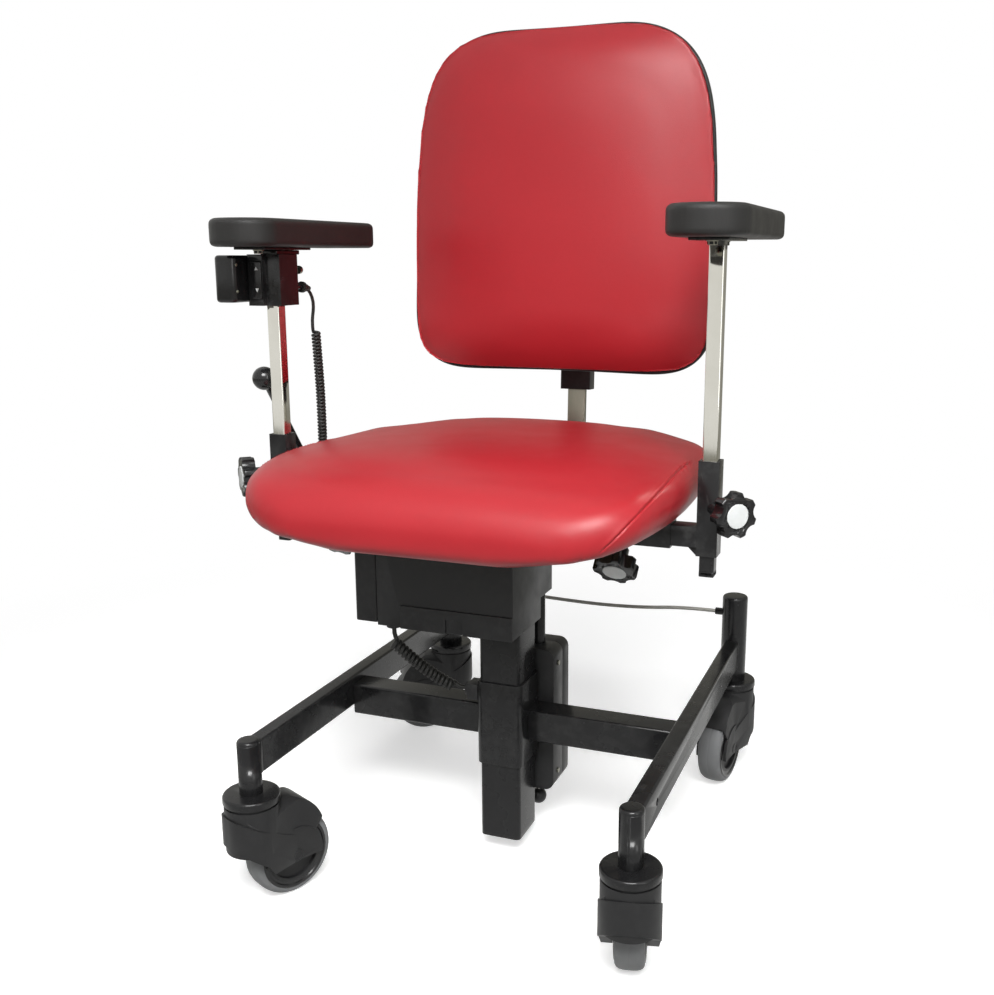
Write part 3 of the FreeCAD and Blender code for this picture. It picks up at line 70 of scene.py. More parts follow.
nodes = frame["nodes"]
scene = bpy.context.scene
scene.view_settings.view_transform = "Standard"
SLOT_OF = {row["node"]: row["material_slot"] for row in frame["record"]["subparts"]}
MM = 0.001
WHITE = (1, 1, 1, 1)
FRONT, RIGHT, UP = Vector((0, -1, 0)), Vector((1, 0, 0)), Vector((0, 0, 1))


# Camera at the photograph's place.
def make_camera():
    data = bpy.data.cameras.new("camera")
    data.sensor_fit = "HORIZONTAL"
    data.sensor_width = 36
    data.lens = 40.06
    data.shift_x = -0.0417
    data.clip_end = 50
    camera = bpy.data.objects.new("camera", data)
    camera.location = (0.48224, -1.23275, 0.72776)
    camera.rotation_euler = (math.radians(90 - 12.3), 0, math.radians(20.37))
    scene.collection.objects.link(camera)
    scene.camera = camera


make_camera()


# Materials.
def add_node(tree, kind, inputs=(), **settings):
    """A shader node with its settings, and with each input set or linked."""
    made = tree.nodes.new(kind)
    for name, value in settings.items():
        setattr(made, name, value)
    for name, value in dict(inputs).items():
        if hasattr(value, "is_linked"):
            tree.links.new(value, made.inputs[name])
        else:
            made.inputs[name].default_value = value
    return made


class Paint:
    """A material under construction: its node tree and its main shader."""

    def __init__(self, name):
        self.made = bpy.data.materials.new(name)
        self.made.use_nodes = True
        self.tree = self.made.node_tree
        self.shader = self.tree.nodes["Principled BSDF"]
        self.where = self.tree.nodes.new("ShaderNodeTexCoord").outputs["Object"]

    def set(self, **values):
        for name, value in values.items():
            self.shader.inputs[name.replace("_", " ")].default_value = value

    def node(self, kind, inputs=(), **settings):
        return add_node(self.tree, kind, inputs, **settings)

    def stretched(self, scale):
        """Coordinates that draw a pattern out along one direction."""
        return self.node("ShaderNodeMapping", {"Vector": self.where, "Scale": scale}).outputs["Vector"]

    def noise(self, size, detail=3.0, roughness=0.55, where=None):
        """Smooth noise whose blobs are about that many metres across."""
        return self.node("ShaderNodeTexNoise", {"Vector": where or self.where, "Scale": 1 / size,
                                                "Detail": detail, "Roughness": roughness}).outputs["Fac"]

    def cells(self, size, feature="F1", where=None):
        return self.node("ShaderNodeTexVoronoi", {"Vector": where or self.where, "Scale": 1 / size},
                         feature=feature).outputs["Distance"]

    def between(self, factor, low, high, at=(0.3, 0.7)):
        """A number that goes from low to high as the factor crosses the given span."""
        return self.node("ShaderNodeMapRange", {"Value": factor, "From Min": at[0], "From Max": at[1],
                                                "To Min": low, "To Max": high}).outputs["Result"]

    def colours(self, factor, stops):
        ramp = self.node("ShaderNodeValToRGB", {"Fac": factor})
        steps = ramp.color_ramp.elements
        while len(steps) < len(stops):
            steps.new(0.5)
        for step, (place, colour) in zip(steps, stops):
            step.position = place
            step.color = (*colour, 1)
        return ramp.outputs["Color"]

    def mix(self, factor, a, b):
        """One colour turning into another."""
        made = self.node("ShaderNodeMix", data_type="RGBA")
        self.tree.links.new(factor, made.inputs["Factor"])
        for value, socket in ((a, made.inputs[6]), (b, made.inputs[7])):
            if hasattr(value, "is_linked"):
                self.tree.links.new(value, socket)
            else:
                socket.default_value = (*value, 1)
        return made.outputs[2]

    def sum(self, a, b, share):
        """One value plus a share of another."""
        return self.node("ShaderNodeMath", {0: b, 1: share, 2: a}, operation="MULTIPLY_ADD").outputs[0]

    def edges(self):
        """Where the surface is sharply convex, for wear."""
        pointed = self.node("ShaderNodeNewGeometry").outputs["Pointiness"]
        return self.between(pointed, 0.0, 1.0, (0.515, 0.6))

    def wear(self, colour, worn, size, amount):
        """A colour rubbed paler in patches along the edges."""
        patches = self.between(self.noise(size, 5), 0.0, amount, (0.45, 0.7))
        factor = self.node("ShaderNodeMath", {0: self.edges(), 1: patches}, operation="MULTIPLY").outputs[0]
        return self.mix(factor, colour, worn)

    def finish(self, colour=None, roughness=None, height=None, depth=0.0001, strength=1.0):
        links = self.tree.links
        if colour is not None:
            links.new(colour, self.shader.inputs["Base Color"])
        if roughness is not None:
            links.new(roughness, self.shader.inputs["Roughness"])
        if height is not None:
            bump = self.node("ShaderNodeBump", {"Height": height, "Distance": depth, "Strength": strength})
            links.new(bump.outputs["Normal"], self.shader.inputs["Normal"])
        return self.made


def black_paint():
    paint = Paint("black_paint")
    paint.set(Specular_IOR_Level=0.24, Coat_Weight=0.12, Coat_Roughness=0.1)
    base = paint.colours(paint.noise(0.14), [(0.3, (0.0085, 0.0085, 0.009)), (0.7, (0.0115, 0.0115, 0.012))])
    colour = paint.wear(base, (0.075, 0.075, 0.073), 0.012, 0.4)
    rough = paint.between(paint.noise(0.05, 4), 0.22, 0.31)
    peel = paint.sum(paint.noise(0.0022, 2), paint.noise(0.0005, 2), 0.4)
    return paint.finish(colour, rough, peel, 0.00005, 0.3)


def moulded(name, dark, light, rough, grain, depth, shine=0.3, worn=0.35):
    """A moulded plastic or rubber with a fine grain, faint mottling and paler rubbed edges."""
    paint = Paint(name)
    paint.set(Specular_IOR_Level=shine)
    base = paint.colours(paint.noise(0.1, 3), [(0.3, dark), (0.7, light)])
    rubbed = tuple(min(1.0, 0.03 + 2.0 * c) for c in light)
    colour = paint.wear(base, rubbed, 0.01, worn)
    spread = paint.between(paint.noise(0.03, 4), *rough)
    height = paint.sum(paint.cells(grain), paint.noise(grain * 2.5, 3), 0.8)
    return paint.finish(colour, spread, height, depth, 0.5)


def red_vinyl():
    paint = Paint("red_vinyl")
    paint.set(Specular_IOR_Level=0.42)
    broad = paint.noise(0.2, 2)
    fine = paint.noise(0.006, 4)
    tone = paint.sum(broad, fine, 0.2)
    colour = paint.colours(tone, [(0.42, (0.31, 0.0105, 0.016)), (0.82, (0.35, 0.0135, 0.0195))])
    grain = paint.cells(0.0013, "DISTANCE_TO_EDGE")
    pebbles = paint.between(grain, 0.0, 1.0, (0.0, 0.22))
    height = paint.sum(pebbles, paint.noise(0.009, 4), 0.5)
    rough = paint.between(paint.sum(paint.noise(0.06, 3), pebbles, -0.08), 0.35, 0.42)
    return paint.finish(colour, rough, height, 0.00014, 0.3)


def chrome_tube():
    paint = Paint("chrome_tube")
    paint.set(Metallic=1.0)
    smears = paint.noise(0.05, 4)
    colour = paint.colours(smears, [(0.3, (0.6, 0.588, 0.535)), (0.7, (0.68, 0.668, 0.62))])
    scratches = paint.noise(0.0012, 3, where=paint.stretched((1, 1, 0.06)))
    rough = paint.between(paint.sum(smears, scratches, 0.4), 0.04, 0.11, (0.5, 0.95))
    return paint.finish(colour, rough, scratches, 0.00002, 0.2)


def satin_steel():
    paint = Paint("satin_steel")
    paint.set(Metallic=1.0)
    brushed = paint.noise(0.0009, 4, where=paint.stretched((1, 1, 0.03)))
    tone = paint.sum(paint.noise(0.05, 4), brushed, 0.3)
    colour = paint.colours(tone, [(0.4, (0.26, 0.255, 0.205)), (0.9, (0.34, 0.33, 0.275))])
    rough = paint.between(tone, 0.3, 0.42, (0.4, 0.9))
    return paint.finish(colour, rough, brushed, 0.00003, 0.4)


def plywood():
    paint = Paint("plywood")
    along = paint.stretched((1, 0.08, 1))
    grain = paint.noise(0.006, 6, 0.6, along)
    colour = paint.colours(grain, [(0.3, (0.33, 0.21, 0.11)), (0.7, (0.52, 0.37, 0.22))])
    return paint.finish(colour, paint.between(grain, 0.6, 0.75), grain, 0.0002, 0.5)


def pale_cap():
    paint = Paint("pale_cap")
    paint.set(Specular_IOR_Level=0.35)
    base = paint.colours(paint.noise(0.012, 4), [(0.3, (0.6, 0.615, 0.61)), (0.7, (0.67, 0.685, 0.68))])
    grain = paint.noise(0.0008)
    return paint.finish(base, paint.between(paint.noise(0.006, 4), 0.36, 0.48), grain, 0.00003, 0.5)


MATERIALS = {
    "black_paint": black_paint(),
    "black_plastic": moulded("black_plastic", (0.012, 0.012, 0.0125), (0.017, 0.017, 0.0175), (0.36, 0.48), 0.0007,
                             0.00006),
    "chrome_tube": chrome_tube(),
    "satin_steel": satin_steel(),
    "red_vinyl": red_vinyl(),
    "pad_foam": moulded("pad_foam", (0.0115, 0.011, 0.0105), (0.0155, 0.015, 0.0145), (0.46, 0.56), 0.0009, 0.0001,
                        0.32, 0.0),
    "tyre_grey": moulded("tyre_grey", (0.15, 0.153, 0.156), (0.19, 0.194, 0.197), (0.5, 0.62), 0.0012, 0.00007),
    "plywood": plywood(),
    "cord_sheath": moulded("cord_sheath", (0.012, 0.012, 0.011), (0.019, 0.019, 0.0175), (0.4, 0.5), 0.0008,
                           0.00003),
}
PALE_CAP = pale_cap()
PIPING = moulded("piping", (0.009, 0.009, 0.009), (0.014, 0.014, 0.014), (0.42, 0.52), 0.0008, 0.00005)
GLOSS_BLACK = moulded("gloss_black", (0.0085, 0.0085, 0.009), (0.0115, 0.0115, 0.012), (0.13, 0.22), 0.0006, 0.00002,
                      0.42)
THREAD = moulded("thread", (0.3, 0.009, 0.014), (0.38, 0.012, 0.018), (0.5, 0.6), 0.0006, 0.0001, 0.2, 0.0)
CABLE_GREY = moulded("cable_grey", (0.3, 0.295, 0.265), (0.4, 0.39, 0.36), (0.35, 0.48), 0.001, 0.00003)


# Pieces.
def linked(name, mesh, material):
    obj = bpy.data.objects.new(name, mesh)
    scene.collection.objects.link(obj)
    mesh.materials.clear()
    mesh.materials.append(material)
    return obj


def evaluated(obj):
    """The mesh that an object shows, with its modifiers, as a new mesh."""
    bpy.context.view_layer.update()
    return bpy.data.meshes.new_from_object(obj.evaluated_get(bpy.context.evaluated_depsgraph_get()))


def baked(obj):
    """Puts an object's modifiers into its mesh."""
    mesh = evaluated(obj)
    obj.modifiers.clear()
    old = obj.data
    obj.data = mesh
    bpy.data.meshes.remove(old)
    return obj


def smoothed(obj, degrees=38):
    obj.data.shade_smooth()
    obj.data.set_sharp_from_angle(angle=math.radians(degrees))
    return obj


def round_edges(obj, width, segments):
    """Rounds an object's hard edges."""
    bevel = obj.modifiers.new("edges", "BEVEL")
    bevel.width = width
    bevel.segments = segments
    bevel.limit_method = "ANGLE"
    bevel.angle_limit = math.radians(32)
    return smoothed(baked(obj))


def mesh_from(bm, name):
    """A new mesh of what a bmesh holds."""
    mesh = bpy.data.meshes.new(name)
    bm.to_mesh(mesh)
    bm.free()
    return mesh


def add_box(bm, low, high):
    """A box between two opposite corners, in millimetres."""
    for vert in bmesh.ops.create_cube(bm, size=1.0)["verts"]:
        vert.co = Vector(h if c > 0 else l for c, l, h in zip(vert.co, low, high)) * MM


def stands_for(obj, node):
    """A piece in place of a node, on the node's body."""
    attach(obj, nodes[node]["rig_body"])
    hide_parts(node)
    return obj


def adds_to(obj, body):
    """A piece on a body beside its nodes."""
    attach(obj, body)
    return obj


def clean_mesh(node, name):
    """A node's mesh with its split vertices joined and its flat faces whole."""
    mesh = nodes[node].data.copy()
    mesh.name = name
    bm = bmesh.new()
    bm.from_mesh(mesh)
    bmesh.ops.remove_doubles(bm, verts=bm.verts, dist=2e-6)
    bmesh.ops.dissolve_limit(bm, angle_limit=math.radians(0.15), verts=[], edges=bm.edges)
    bmesh.ops.dissolve_limit(bm, angle_limit=math.radians(0.02), verts=bm.verts, edges=[])
    bm.to_mesh(mesh)
    bm.free()
    if "custom_normal" in mesh.attributes:
        mesh.attributes.remove(mesh.attributes["custom_normal"])
    return mesh


def soften(node, width, segments=2, material=None):
    """A node's own shape with its hard edges rounded."""
    name = f"{node}_finish"
    obj = linked(name, clean_mesh(node, name), material or MATERIALS[SLOT_OF[node]])
    return stands_for(round_edges(obj, width, segments), node)


# Cords.
def spline_curve(name, points, depth, steps):
    """A smooth curve with the given control points, drawn as a tube where it has a depth."""
    data = bpy.data.curves.new(name, "CURVE")
    data.dimensions = "3D"
    spline = data.splines.new("NURBS")
    spline.points.add(len(points) - 1)
    for point, place in zip(spline.points, points):
        point.co = (*place, 1)
    spline.order_u = 3
    spline.use_endpoint_u = True
    spline.resolution_u = steps
    data.resolution_u = steps
    data.bevel_depth = depth
    data.bevel_resolution = 4
    data.use_fill_caps = True
    obj = bpy.data.objects.new(name, data)
    scene.collection.objects.link(obj)
    return obj


def line_of(points, steps):
    """Points read along the smooth line of a route."""
    curve = spline_curve("route", points, 0.0, steps)
    mesh = evaluated(curve)
    read = [mesh.vertices[0].co.copy()]
    for vertex in mesh.vertices:
        if (vertex.co - read[-1]).length > 1e-6:
            read.append(vertex.co.copy())
    bpy.data.objects.remove(curve)
    bpy.data.meshes.remove(mesh)
    return read


def curls(axis_route, radius, turns, phase, per_turn=16):
    """A helix about a route's smooth line."""
    line = line_of(axis_route, 24)
    gaps = [0.0]
    for a, b in zip(line, line[1:]):
        gaps.append(gaps[-1] + (b - a).length)
    total = gaps[-1]
    places = []
    count = turns * per_turn
    for step in range(count + 1):
        along = total * step / count
        i = min(max(np.searchsorted(gaps, along) - 1, 0), len(line) - 2)
        share = (along - gaps[i]) / (gaps[i + 1] - gaps[i])
        centre = line[i].lerp(line[i + 1], share)
        way = (line[min(i + 2, len(line) - 1)] - line[max(i - 1, 0)]).normalized()
        side = way.cross(Vector((0, 1, 0)) if abs(way.y) < 0.9 else Vector((1, 0, 0))).normalized()
        angle = phase + 2 * math.pi * turns * step / count
        places.append(centre + (side * math.cos(angle) + way.cross(side) * math.sin(angle)) * radius)
    return places


def in_metres(points):
    return [Vector(p) * MM for p in points]


def curly_cord(node, lead, axis, tail, wire, radius, turns, phase):
    """A lead, a run of curls and a tail as one unbroken tube that stretches between two bodies."""
    route = in_metres(lead) + curls(in_metres(axis), radius * MM, turns, phase) + in_metres(tail)
    curve = spline_curve(node, route, wire * MM, 2)
    mesh = evaluated(curve)
    bpy.data.objects.remove(curve)
    tube = linked(f"{node}_tube", mesh, MATERIALS["cord_sheath"])
    mesh.shade_smooth()
    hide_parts(node)
    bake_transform(tube)
    line_of(route, 2)


HANDSET_LEAD = [(-252, -70, 692), (-252, -60, 691), (-251.5, -51, 685), (-251, -46, 674), (-252.5, -44.5, 662.5),
                (-254, -45.5, 653)]
HANDSET_AXIS = [(-250, -45, 637), (-251, -40, 592), (-252.5, -35, 548), (-255, -31.5, 494)]
HANDSET_TAIL = [(-256, -31, 477.6), (-256, -31, 474)]
MOTOR_LEAD = [(-131, -88, 286), (-131, -88, 276)]
MOTOR_AXIS = [(-131, -88, 266), (-99.25, -73, 227.5), (-67.5, -58, 207)]
MOTOR_TAIL = [(-57.5, -58, 207), (-47.5, -58, 207)]
CABLE_ROUTE = [(-194.5, 268, 234), (-150, 268, 234), (-95, 268.5, 227.5), (-40, 269, 225), (25, 268.5, 224),
               (90, 268, 227), (148, 268, 234), (194.5, 268, 234)]

curly_cord("handset_cord", HANDSET_LEAD, HANDSET_AXIS, HANDSET_TAIL, 2.0, 4.0, 34, math.pi)
curly_cord("motor_cord", MOTOR_LEAD, MOTOR_AXIS, MOTOR_TAIL, 2.75, 5.2, 16, 0.0)
cable = spline_curve("brake_cable_sheath", in_metres(CABLE_ROUTE), 2.6 * MM, 12)
cable.data.materials.append(CABLE_GREY)
stands_for(cable, "brake_cable")


# Frame, column, drive and fittings.
for node in ("front_posts", "rear_posts", "side_rail_left", "side_rail_right", "cross_bars", "column_sleeve",
             "column_tube", "lift_head", "arm_receiver", "back_bracket", "arm_bracket_left", "arm_bracket_right",
             "lever_bracket", "caster_stems", "arm_fittings_left", "arm_fittings_right"):
    soften(node, 0.9 * MM)
for node in ("actuator_housing", "actuator_cover", "motor_plug", "control_box", "battery_pack", "back_sleeve",
             "release_knob"):
    soften(node, 1.0 * MM)
soften("brake_lever", 1.0 * MM, 2, GLOSS_BLACK)


def arm_tube(node, dark_below):
    """A plated tube with a black lower end."""
    obj = soften(node, 0.4 * MM)
    bm = bmesh.new()
    bm.from_mesh(obj.data)
    everything = bm.verts[:] + bm.edges[:] + bm.faces[:]
    bmesh.ops.bisect_plane(bm, geom=everything, plane_co=(0, 0, dark_below), plane_no=(0, 0, 1), dist=1e-6)
    for face in bm.faces:
        face.material_index = int(face.calc_center_median().z < dark_below)
    bm.to_mesh(obj.data)
    bm.free()
    obj.data.materials.append(MATERIALS["black_paint"])
    smoothed(obj)


for side in ("left", "right"):
    arm_tube(f"arm_post_{side}", 0.4209)
soften("back_bar", 0.8 * MM)
soften("handset_body", 4.0 * MM, 5, GLOSS_BLACK)
soften("handset_rocker", 1.2 * MM, 3, GLOSS_BLACK)
soften("push_rod", 0.6 * MM, 2, MATERIALS["black_paint"])
for corner_name in ("front_left", "front_right", "rear_left", "rear_right"):
    soften(f"caster_hub_{corner_name}", 1.0 * MM)
for node in ("height_knob_left", "height_knob_right", "width_knob_left", "width_knob_right", "back_knob"):
    soften(node, 1.0 * MM, 3, GLOSS_BLACK)


def blocks(name, boxes, round_by, material, body):
    """Small blocks with rounded edges, each given by two opposite corners."""
    bm = bmesh.new()
    for low, high in boxes:
        add_box(bm, low, high)
    bmesh.ops.recalc_face_normals(bm, faces=bm.faces)
    bmesh.ops.bevel(bm, geom=bm.edges, offset=round_by * MM, segments=3, affect="EDGES", profile=0.5)
    adds_to(smoothed(linked(name, mesh_from(bm, name), material)), body)


# The side rails' ends at the round posts, the collar over the handset's clamp and the plugs of the arm tubes.
RAIL_ENDS = [((x - 10, front, 157), (x + 10, rear, 197))
             for x in (-222, 222) for front, rear in ((-266.75, -254.25), (249.3, 266.3))]
blocks("rail_ends", RAIL_ENDS, 2.2, MATERIALS["black_paint"], "base")
blocks("clamp_collar", [((-268, -128, 729.8), (-246, -80, 734.8))], 1.0, GLOSS_BLACK, "arm_left")
for side, at_x in (("left", -258), ("right", 258)):
    blocks(f"tube_plug_{side}", [((at_x - 8, -124, 398), (at_x + 8, -108, 403.9))], 1.2, MATERIALS["black_plastic"],
           f"arm_{side}")


def cut_back(node, low, high, material):
    """A node's own shape with a box taken off it and its hard edges rounded."""
    name = f"{node}_finish"
    obj = linked(name, clean_mesh(node, name), material)
    bm = bmesh.new()
    add_box(bm, low, high)
    tool = bpy.data.objects.new("notch", mesh_from(bm, "notch"))
    scene.collection.objects.link(tool)
    notch = obj.modifiers.new("notch", "BOOLEAN")
    notch.object = tool
    notch.operation = "DIFFERENCE"
    notch.solver = "EXACT"
    baked(obj)
    bpy.data.objects.remove(tool)
    stands_for(round_edges(obj, 1.0 * MM, 3), node)


# The handset's clamp is stepped back at its front right corner, where it hugs the arm tube.
cut_back("handset_clamp", (-262.5, -140, 660), (-240, -126.6, 740), GLOSS_BLACK)


# Small turned fittings.
def ring_of(radius, sides, around):
    """Places round a circle, or round a polygon with that many sides."""
    places = []
    for step in range(around):
        angle = 2 * math.pi * step / around
        reach = radius
        if sides:
            half = math.pi / sides
            reach = radius * math.cos(half) / math.cos((angle % (2 * half)) - half)
        places.append((reach * math.cos(angle), reach * math.sin(angle)))
    return places


def turned(name, rings, spots, material, body, around=36, hollow=False):
    """Copies of one turned form, given as radius, height and sides from foot to top, at several spots."""
    bm = bmesh.new()
    for centre, axis in spots:
        place = Matrix.Translation(Vector(centre) * MM) @ Vector(axis).to_track_quat("Z", "Y").to_matrix().to_4x4()
        loops = []
        for radius, height, sides in rings:
            ring = ring_of(radius, sides, around)
            loops.append([bm.verts.new(place @ (Vector((x, y, height)) * MM)) for x, y in ring])
        for low, high in zip(loops, loops[1:] + loops[:1] * hollow):
            for i in range(around):
                j = (i + 1) % around
                bm.faces.new((low[i], low[j], high[j], high[i]))
        if not hollow:
            bm.faces.new(loops[-1])
            bm.faces.new(loops[0][::-1])
    return adds_to(smoothed(linked(name, mesh_from(bm, name), material), 30), body)


def socket_screw(radius, height):
    """Rings of a screw head with a hexagon socket."""
    return [(radius, -0.2, 0), (radius, 0.5 * height, 0), (0.9 * radius, 0.85 * height, 0), (0.66 * radius, height, 0),
            (0.5 * radius, height, 6), (0.48 * radius, 0.4 * height, 6)]


def hex_bolt(across, height):
    """Rings of a hexagon head on its washer."""
    return [(1.12 * across, -0.2, 0), (1.12 * across, 0.25 * height, 0), (across, 0.25 * height, 6),
            (across, 0.9 * height, 6), (0.84 * across, height, 0)]


DIAGONAL = math.sqrt(0.5)
KNOB_CAP = [(12.7, -0.6, 0), (12.7, 0.35, 0), (12.3, 0.7, 0), (11.4, 0.8, 0), (4.0, 0.95, 0)]
BACK_LEAN = math.radians(2.7)
for side, sign in (("left", -1), ("right", 1)):
    axis = Vector((sign * DIAGONAL, -DIAGONAL, 0))
    turned(f"height_knob_cap_{side}", KNOB_CAP, [(Vector((sign * 258, -116, 473)) + 50.86 * axis, axis)], PALE_CAP,
           f"height_knob_{side}", 64)
    axis = Vector((0, -DIAGONAL, -DIAGONAL))
    turned(f"width_knob_cap_{side}", KNOB_CAP, [(Vector((sign * 167, -116, 441)) + 54.39 * axis, axis)], PALE_CAP,
           f"width_knob_{side}", 64)
lean = Matrix.Rotation(-BACK_LEAN, 3, "X")
back_pin = Vector((0, 120, 440))
back_knob_face = back_pin + lean @ (Vector((0, 255.6, 600)) - back_pin)
turned("back_knob_cap", KNOB_CAP, [(back_knob_face, lean @ -FRONT)], PALE_CAP, "back_knob", 64)

turned("handset_screws", socket_screw(1.9, 1.0), [((-284, -152.5, 718.5), RIGHT), ((-284, -152.5, 688.5), RIGHT)],
       MATERIALS["satin_steel"], "arm_left", 24)
turned("clamp_rear_screw", socket_screw(5.0, 6.0), [((-256, -70, 712), -FRONT)], MATERIALS["satin_steel"], "arm_left",
       24)
CORD_BOOT = [(6.6, -0.5, 0), (6.6, 3, 0), (5.4, 4, 0), (5.2, 7, 0), (4.5, 8, 0), (4.3, 11, 0), (3.7, 12, 0),
             (2.8, 17, 0)]
turned("cord_boot", CORD_BOOT, [((-252, -70, 692), Vector((0, 1, -0.12)))], MATERIALS["cord_sheath"], "arm_left",
       28)
for side, at_x, under in (("left", -258, 735), ("right", 258, 743)):
    turned(f"pad_screws_{side}", hex_bolt(5.3, 4.6), [((at_x, -146, under), -UP), ((at_x, -86, under), -UP)],
           MATERIALS["satin_steel"], f"arm_{side}", 36)
turned("release_neck", [(5.2, -13, 0), (5.2, -1.4, 0), (6.6, -1.0, 0), (6.6, -0.1, 0)], [((18, 19.0, 62), UP)],
       MATERIALS["chrome_tube"], "release")

# Each caster's kingpin on the floor plan and the way it is turned, in degrees.
CASTER_PLACES = {
    "front_left": (-222, -268, 65),
    "front_right": (222, -268, 103),
    "rear_left": (-222, 268, 213),
    "rear_right": (222, 268, -99),
}
AXLE_CAP = [(7.4, -0.5, 0), (7.4, 0.2, 0), (6.8, 0.7, 0), (4.6, 0.8, 0), (4.2, 0.3, 6), (3.9, 0.3, 6)]
TYRE_SIDE = [(35.0, 13.5), (36.5, 15.2), (41, 16), (44.5, 15.7), (47.2, 14), (48.9, 11), (49.7, 7), (49.95, 3),
             (50, 0.5)]
TYRE = [(r, -h, 0) for r, h in TYRE_SIDE] + [(49.8, 0, 0)] + [(r, h, 0) for r, h in TYRE_SIDE[::-1]]
RIM_RING = [(33.5, 0, 0), (33.5, 1.2, 0), (34.2, 1.9, 0), (36, 1.4, 0), (37.2, 1.5, 0), (38.2, 2.5, 0), (40, 2.9, 0),
            (41.4, 2.4, 0), (42, 1.0, 0), (41, 0, 0)]
WHEEL_RADIUS, TRAIL, FORK_SIDE, RIM_FACE, FORK_FOOT = 50, 43, 22, 14, 43
PAST_FORK = Vector((130, 130, 0))
for corner_name, (at_x, at_y, degrees) in CASTER_PLACES.items():
    turn = Matrix.Rotation(math.radians(degrees), 3, "Z")
    kingpin = Vector((at_x, at_y, 0))
    middle = kingpin + WHEEL_RADIUS * UP + turn @ (TRAIL * RIGHT)
    across = turn @ -FRONT
    caps, rims = ([(middle + reach * way, way) for way in (across, -across)] for reach in (FORK_SIDE, RIM_FACE))
    turned(f"axle_caps_{corner_name}", AXLE_CAP, caps, MATERIALS["black_plastic"], f"caster_{corner_name}",
           40)
    tyre = turned(f"tyre_{corner_name}", TYRE, [(middle, across)], MATERIALS["tyre_grey"], f"wheel_{corner_name}",
                  96, True)
    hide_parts(f"caster_tyre_{corner_name}")
    turned(f"rim_rings_{corner_name}", RIM_RING, rims, GLOSS_BLACK, f"wheel_{corner_name}", 96, True)
    cut_back(f"caster_fork_{corner_name}", kingpin - PAST_FORK - 5 * UP, kingpin + PAST_FORK + FORK_FOOT * UP,
             MATERIALS["black_plastic"])


def arrow_marks():
    """Up and down marks on the handset's rocker."""
    bm = bmesh.new()
    for level, way in ((714, 1), (690, -1)):
        tips = [(-2.6, -1.9), (2.6, -1.9), (0, 2.4)]
        back = [bm.verts.new(Vector((-269 + x, -135.9, level + way * z)) * MM) for x, z in tips]
        front = [bm.verts.new(Vector((-269 + 0.9 * x, -136.3, level + 0.9 * way * z)) * MM) for x, z in tips]
        bm.faces.new(front)
        for i in range(len(tips)):
            j = (i + 1) % len(tips)
            bm.faces.new((back[i], back[j], front[j], front[i]))
    bmesh.ops.recalc_face_normals(bm, faces=bm.faces)
    adds_to(linked("rocker_marks", mesh_from(bm, "rocker_marks"), PALE_CAP), "rocker")


arrow_marks()


# Cushions.
def points_of(mesh, what="co"):
    """A mesh's points, or their normals, as rows."""
    flat = np.empty(len(mesh.vertices) * 3, dtype=np.float32)
    mesh.vertices.foreach_get(what, flat)
    return flat.reshape(-1, 3).astype(float)


def put_points(mesh, points):
    mesh.vertices.foreach_set("co", points.astype(np.float32).ravel())
    mesh.update()


def with_modifier(obj, kind, **settings):
    """Puts one modifier into an object's mesh."""
    made = obj.modifiers.new("step", kind)
    for name, value in settings.items():
        setattr(made, name, value)
    return baked(obj)


def spread(values, mesh, times):
    """Evens out a value over the points of a mesh."""
    ends = np.empty(len(mesh.edges) * 2, dtype=np.int32)
    mesh.edges.foreach_get("vertices", ends)
    a, b = ends[0::2], ends[1::2]
    count = len(values)
    degree = np.bincount(a, minlength=count) + np.bincount(b, minlength=count)
    for _ in range(times):
        total = np.bincount(a, values[b], count) + np.bincount(b, values[a], count)
        values = 0.5 * values + 0.5 * total / np.maximum(degree, 1)
    return values


def cushion(node, voxel, shrink, cap, held, smooth=6, blown_up=True, form=None):
    """A stuffed cover: the node's form a little smaller, blown up as cloth with its held points fixed."""
    name = f"{node}_cover"
    obj = linked(name, clean_mesh(node, name), MATERIALS[SLOT_OF[node]])
    with_modifier(obj, "REMESH", mode="VOXEL", voxel_size=voxel)
    with_modifier(obj, "SMOOTH", factor=0.5, iterations=smooth)
    if form:
        put_points(obj.data, form(points_of(obj.data)))
        with_modifier(obj, "SMOOTH", factor=0.5, iterations=smooth)
    start, out = points_of(obj.data), points_of(obj.data, "normal")
    fixed = held(start, out)
    start[~fixed] -= shrink * out[~fixed]
    put_points(obj.data, start)
    limit = shrink + cap
    rise = np.full(len(start), limit)
    if blown_up:
        obj.vertex_groups.new(name="held").add(np.flatnonzero(fixed).tolist(), 1.0, "REPLACE")
        cloth = obj.modifiers.new("cloth", "CLOTH")
        cloth.settings.use_pressure = True
        cloth.settings.uniform_pressure_force = 4.0
        cloth.settings.vertex_group_mass = "held"
        cloth.settings.effector_weights.gravity = 0
        cloth.point_cache.frame_start = 1
        cloth.point_cache.frame_end = 20
        for step in range(1, 21):
            scene.frame_set(step)
        blown = evaluated(obj)
        rise = np.sum((points_of(blown) - start) * out, axis=1)
        bpy.data.meshes.remove(blown)
        obj.modifiers.clear()
        obj.vertex_groups.clear()
        scene.frame_set(1)
    rise = spread(np.where(fixed, shrink, np.clip(rise, 0.0, limit)), obj.data, 160)
    rise = np.where(fixed, 0.0, np.clip(rise, shrink, limit))
    put_points(obj.data, start + rise[:, None] * out)
    with_modifier(obj, "SMOOTH", factor=0.5, iterations=smooth)
    with_modifier(obj, "SUBSURF", levels=1, render_levels=1)
    obj.data.shade_smooth()
    return obj


def surface_of(obj):
    return BVHTree.FromPolygons([v.co for v in obj.data.vertices], [p.vertices for p in obj.data.polygons])


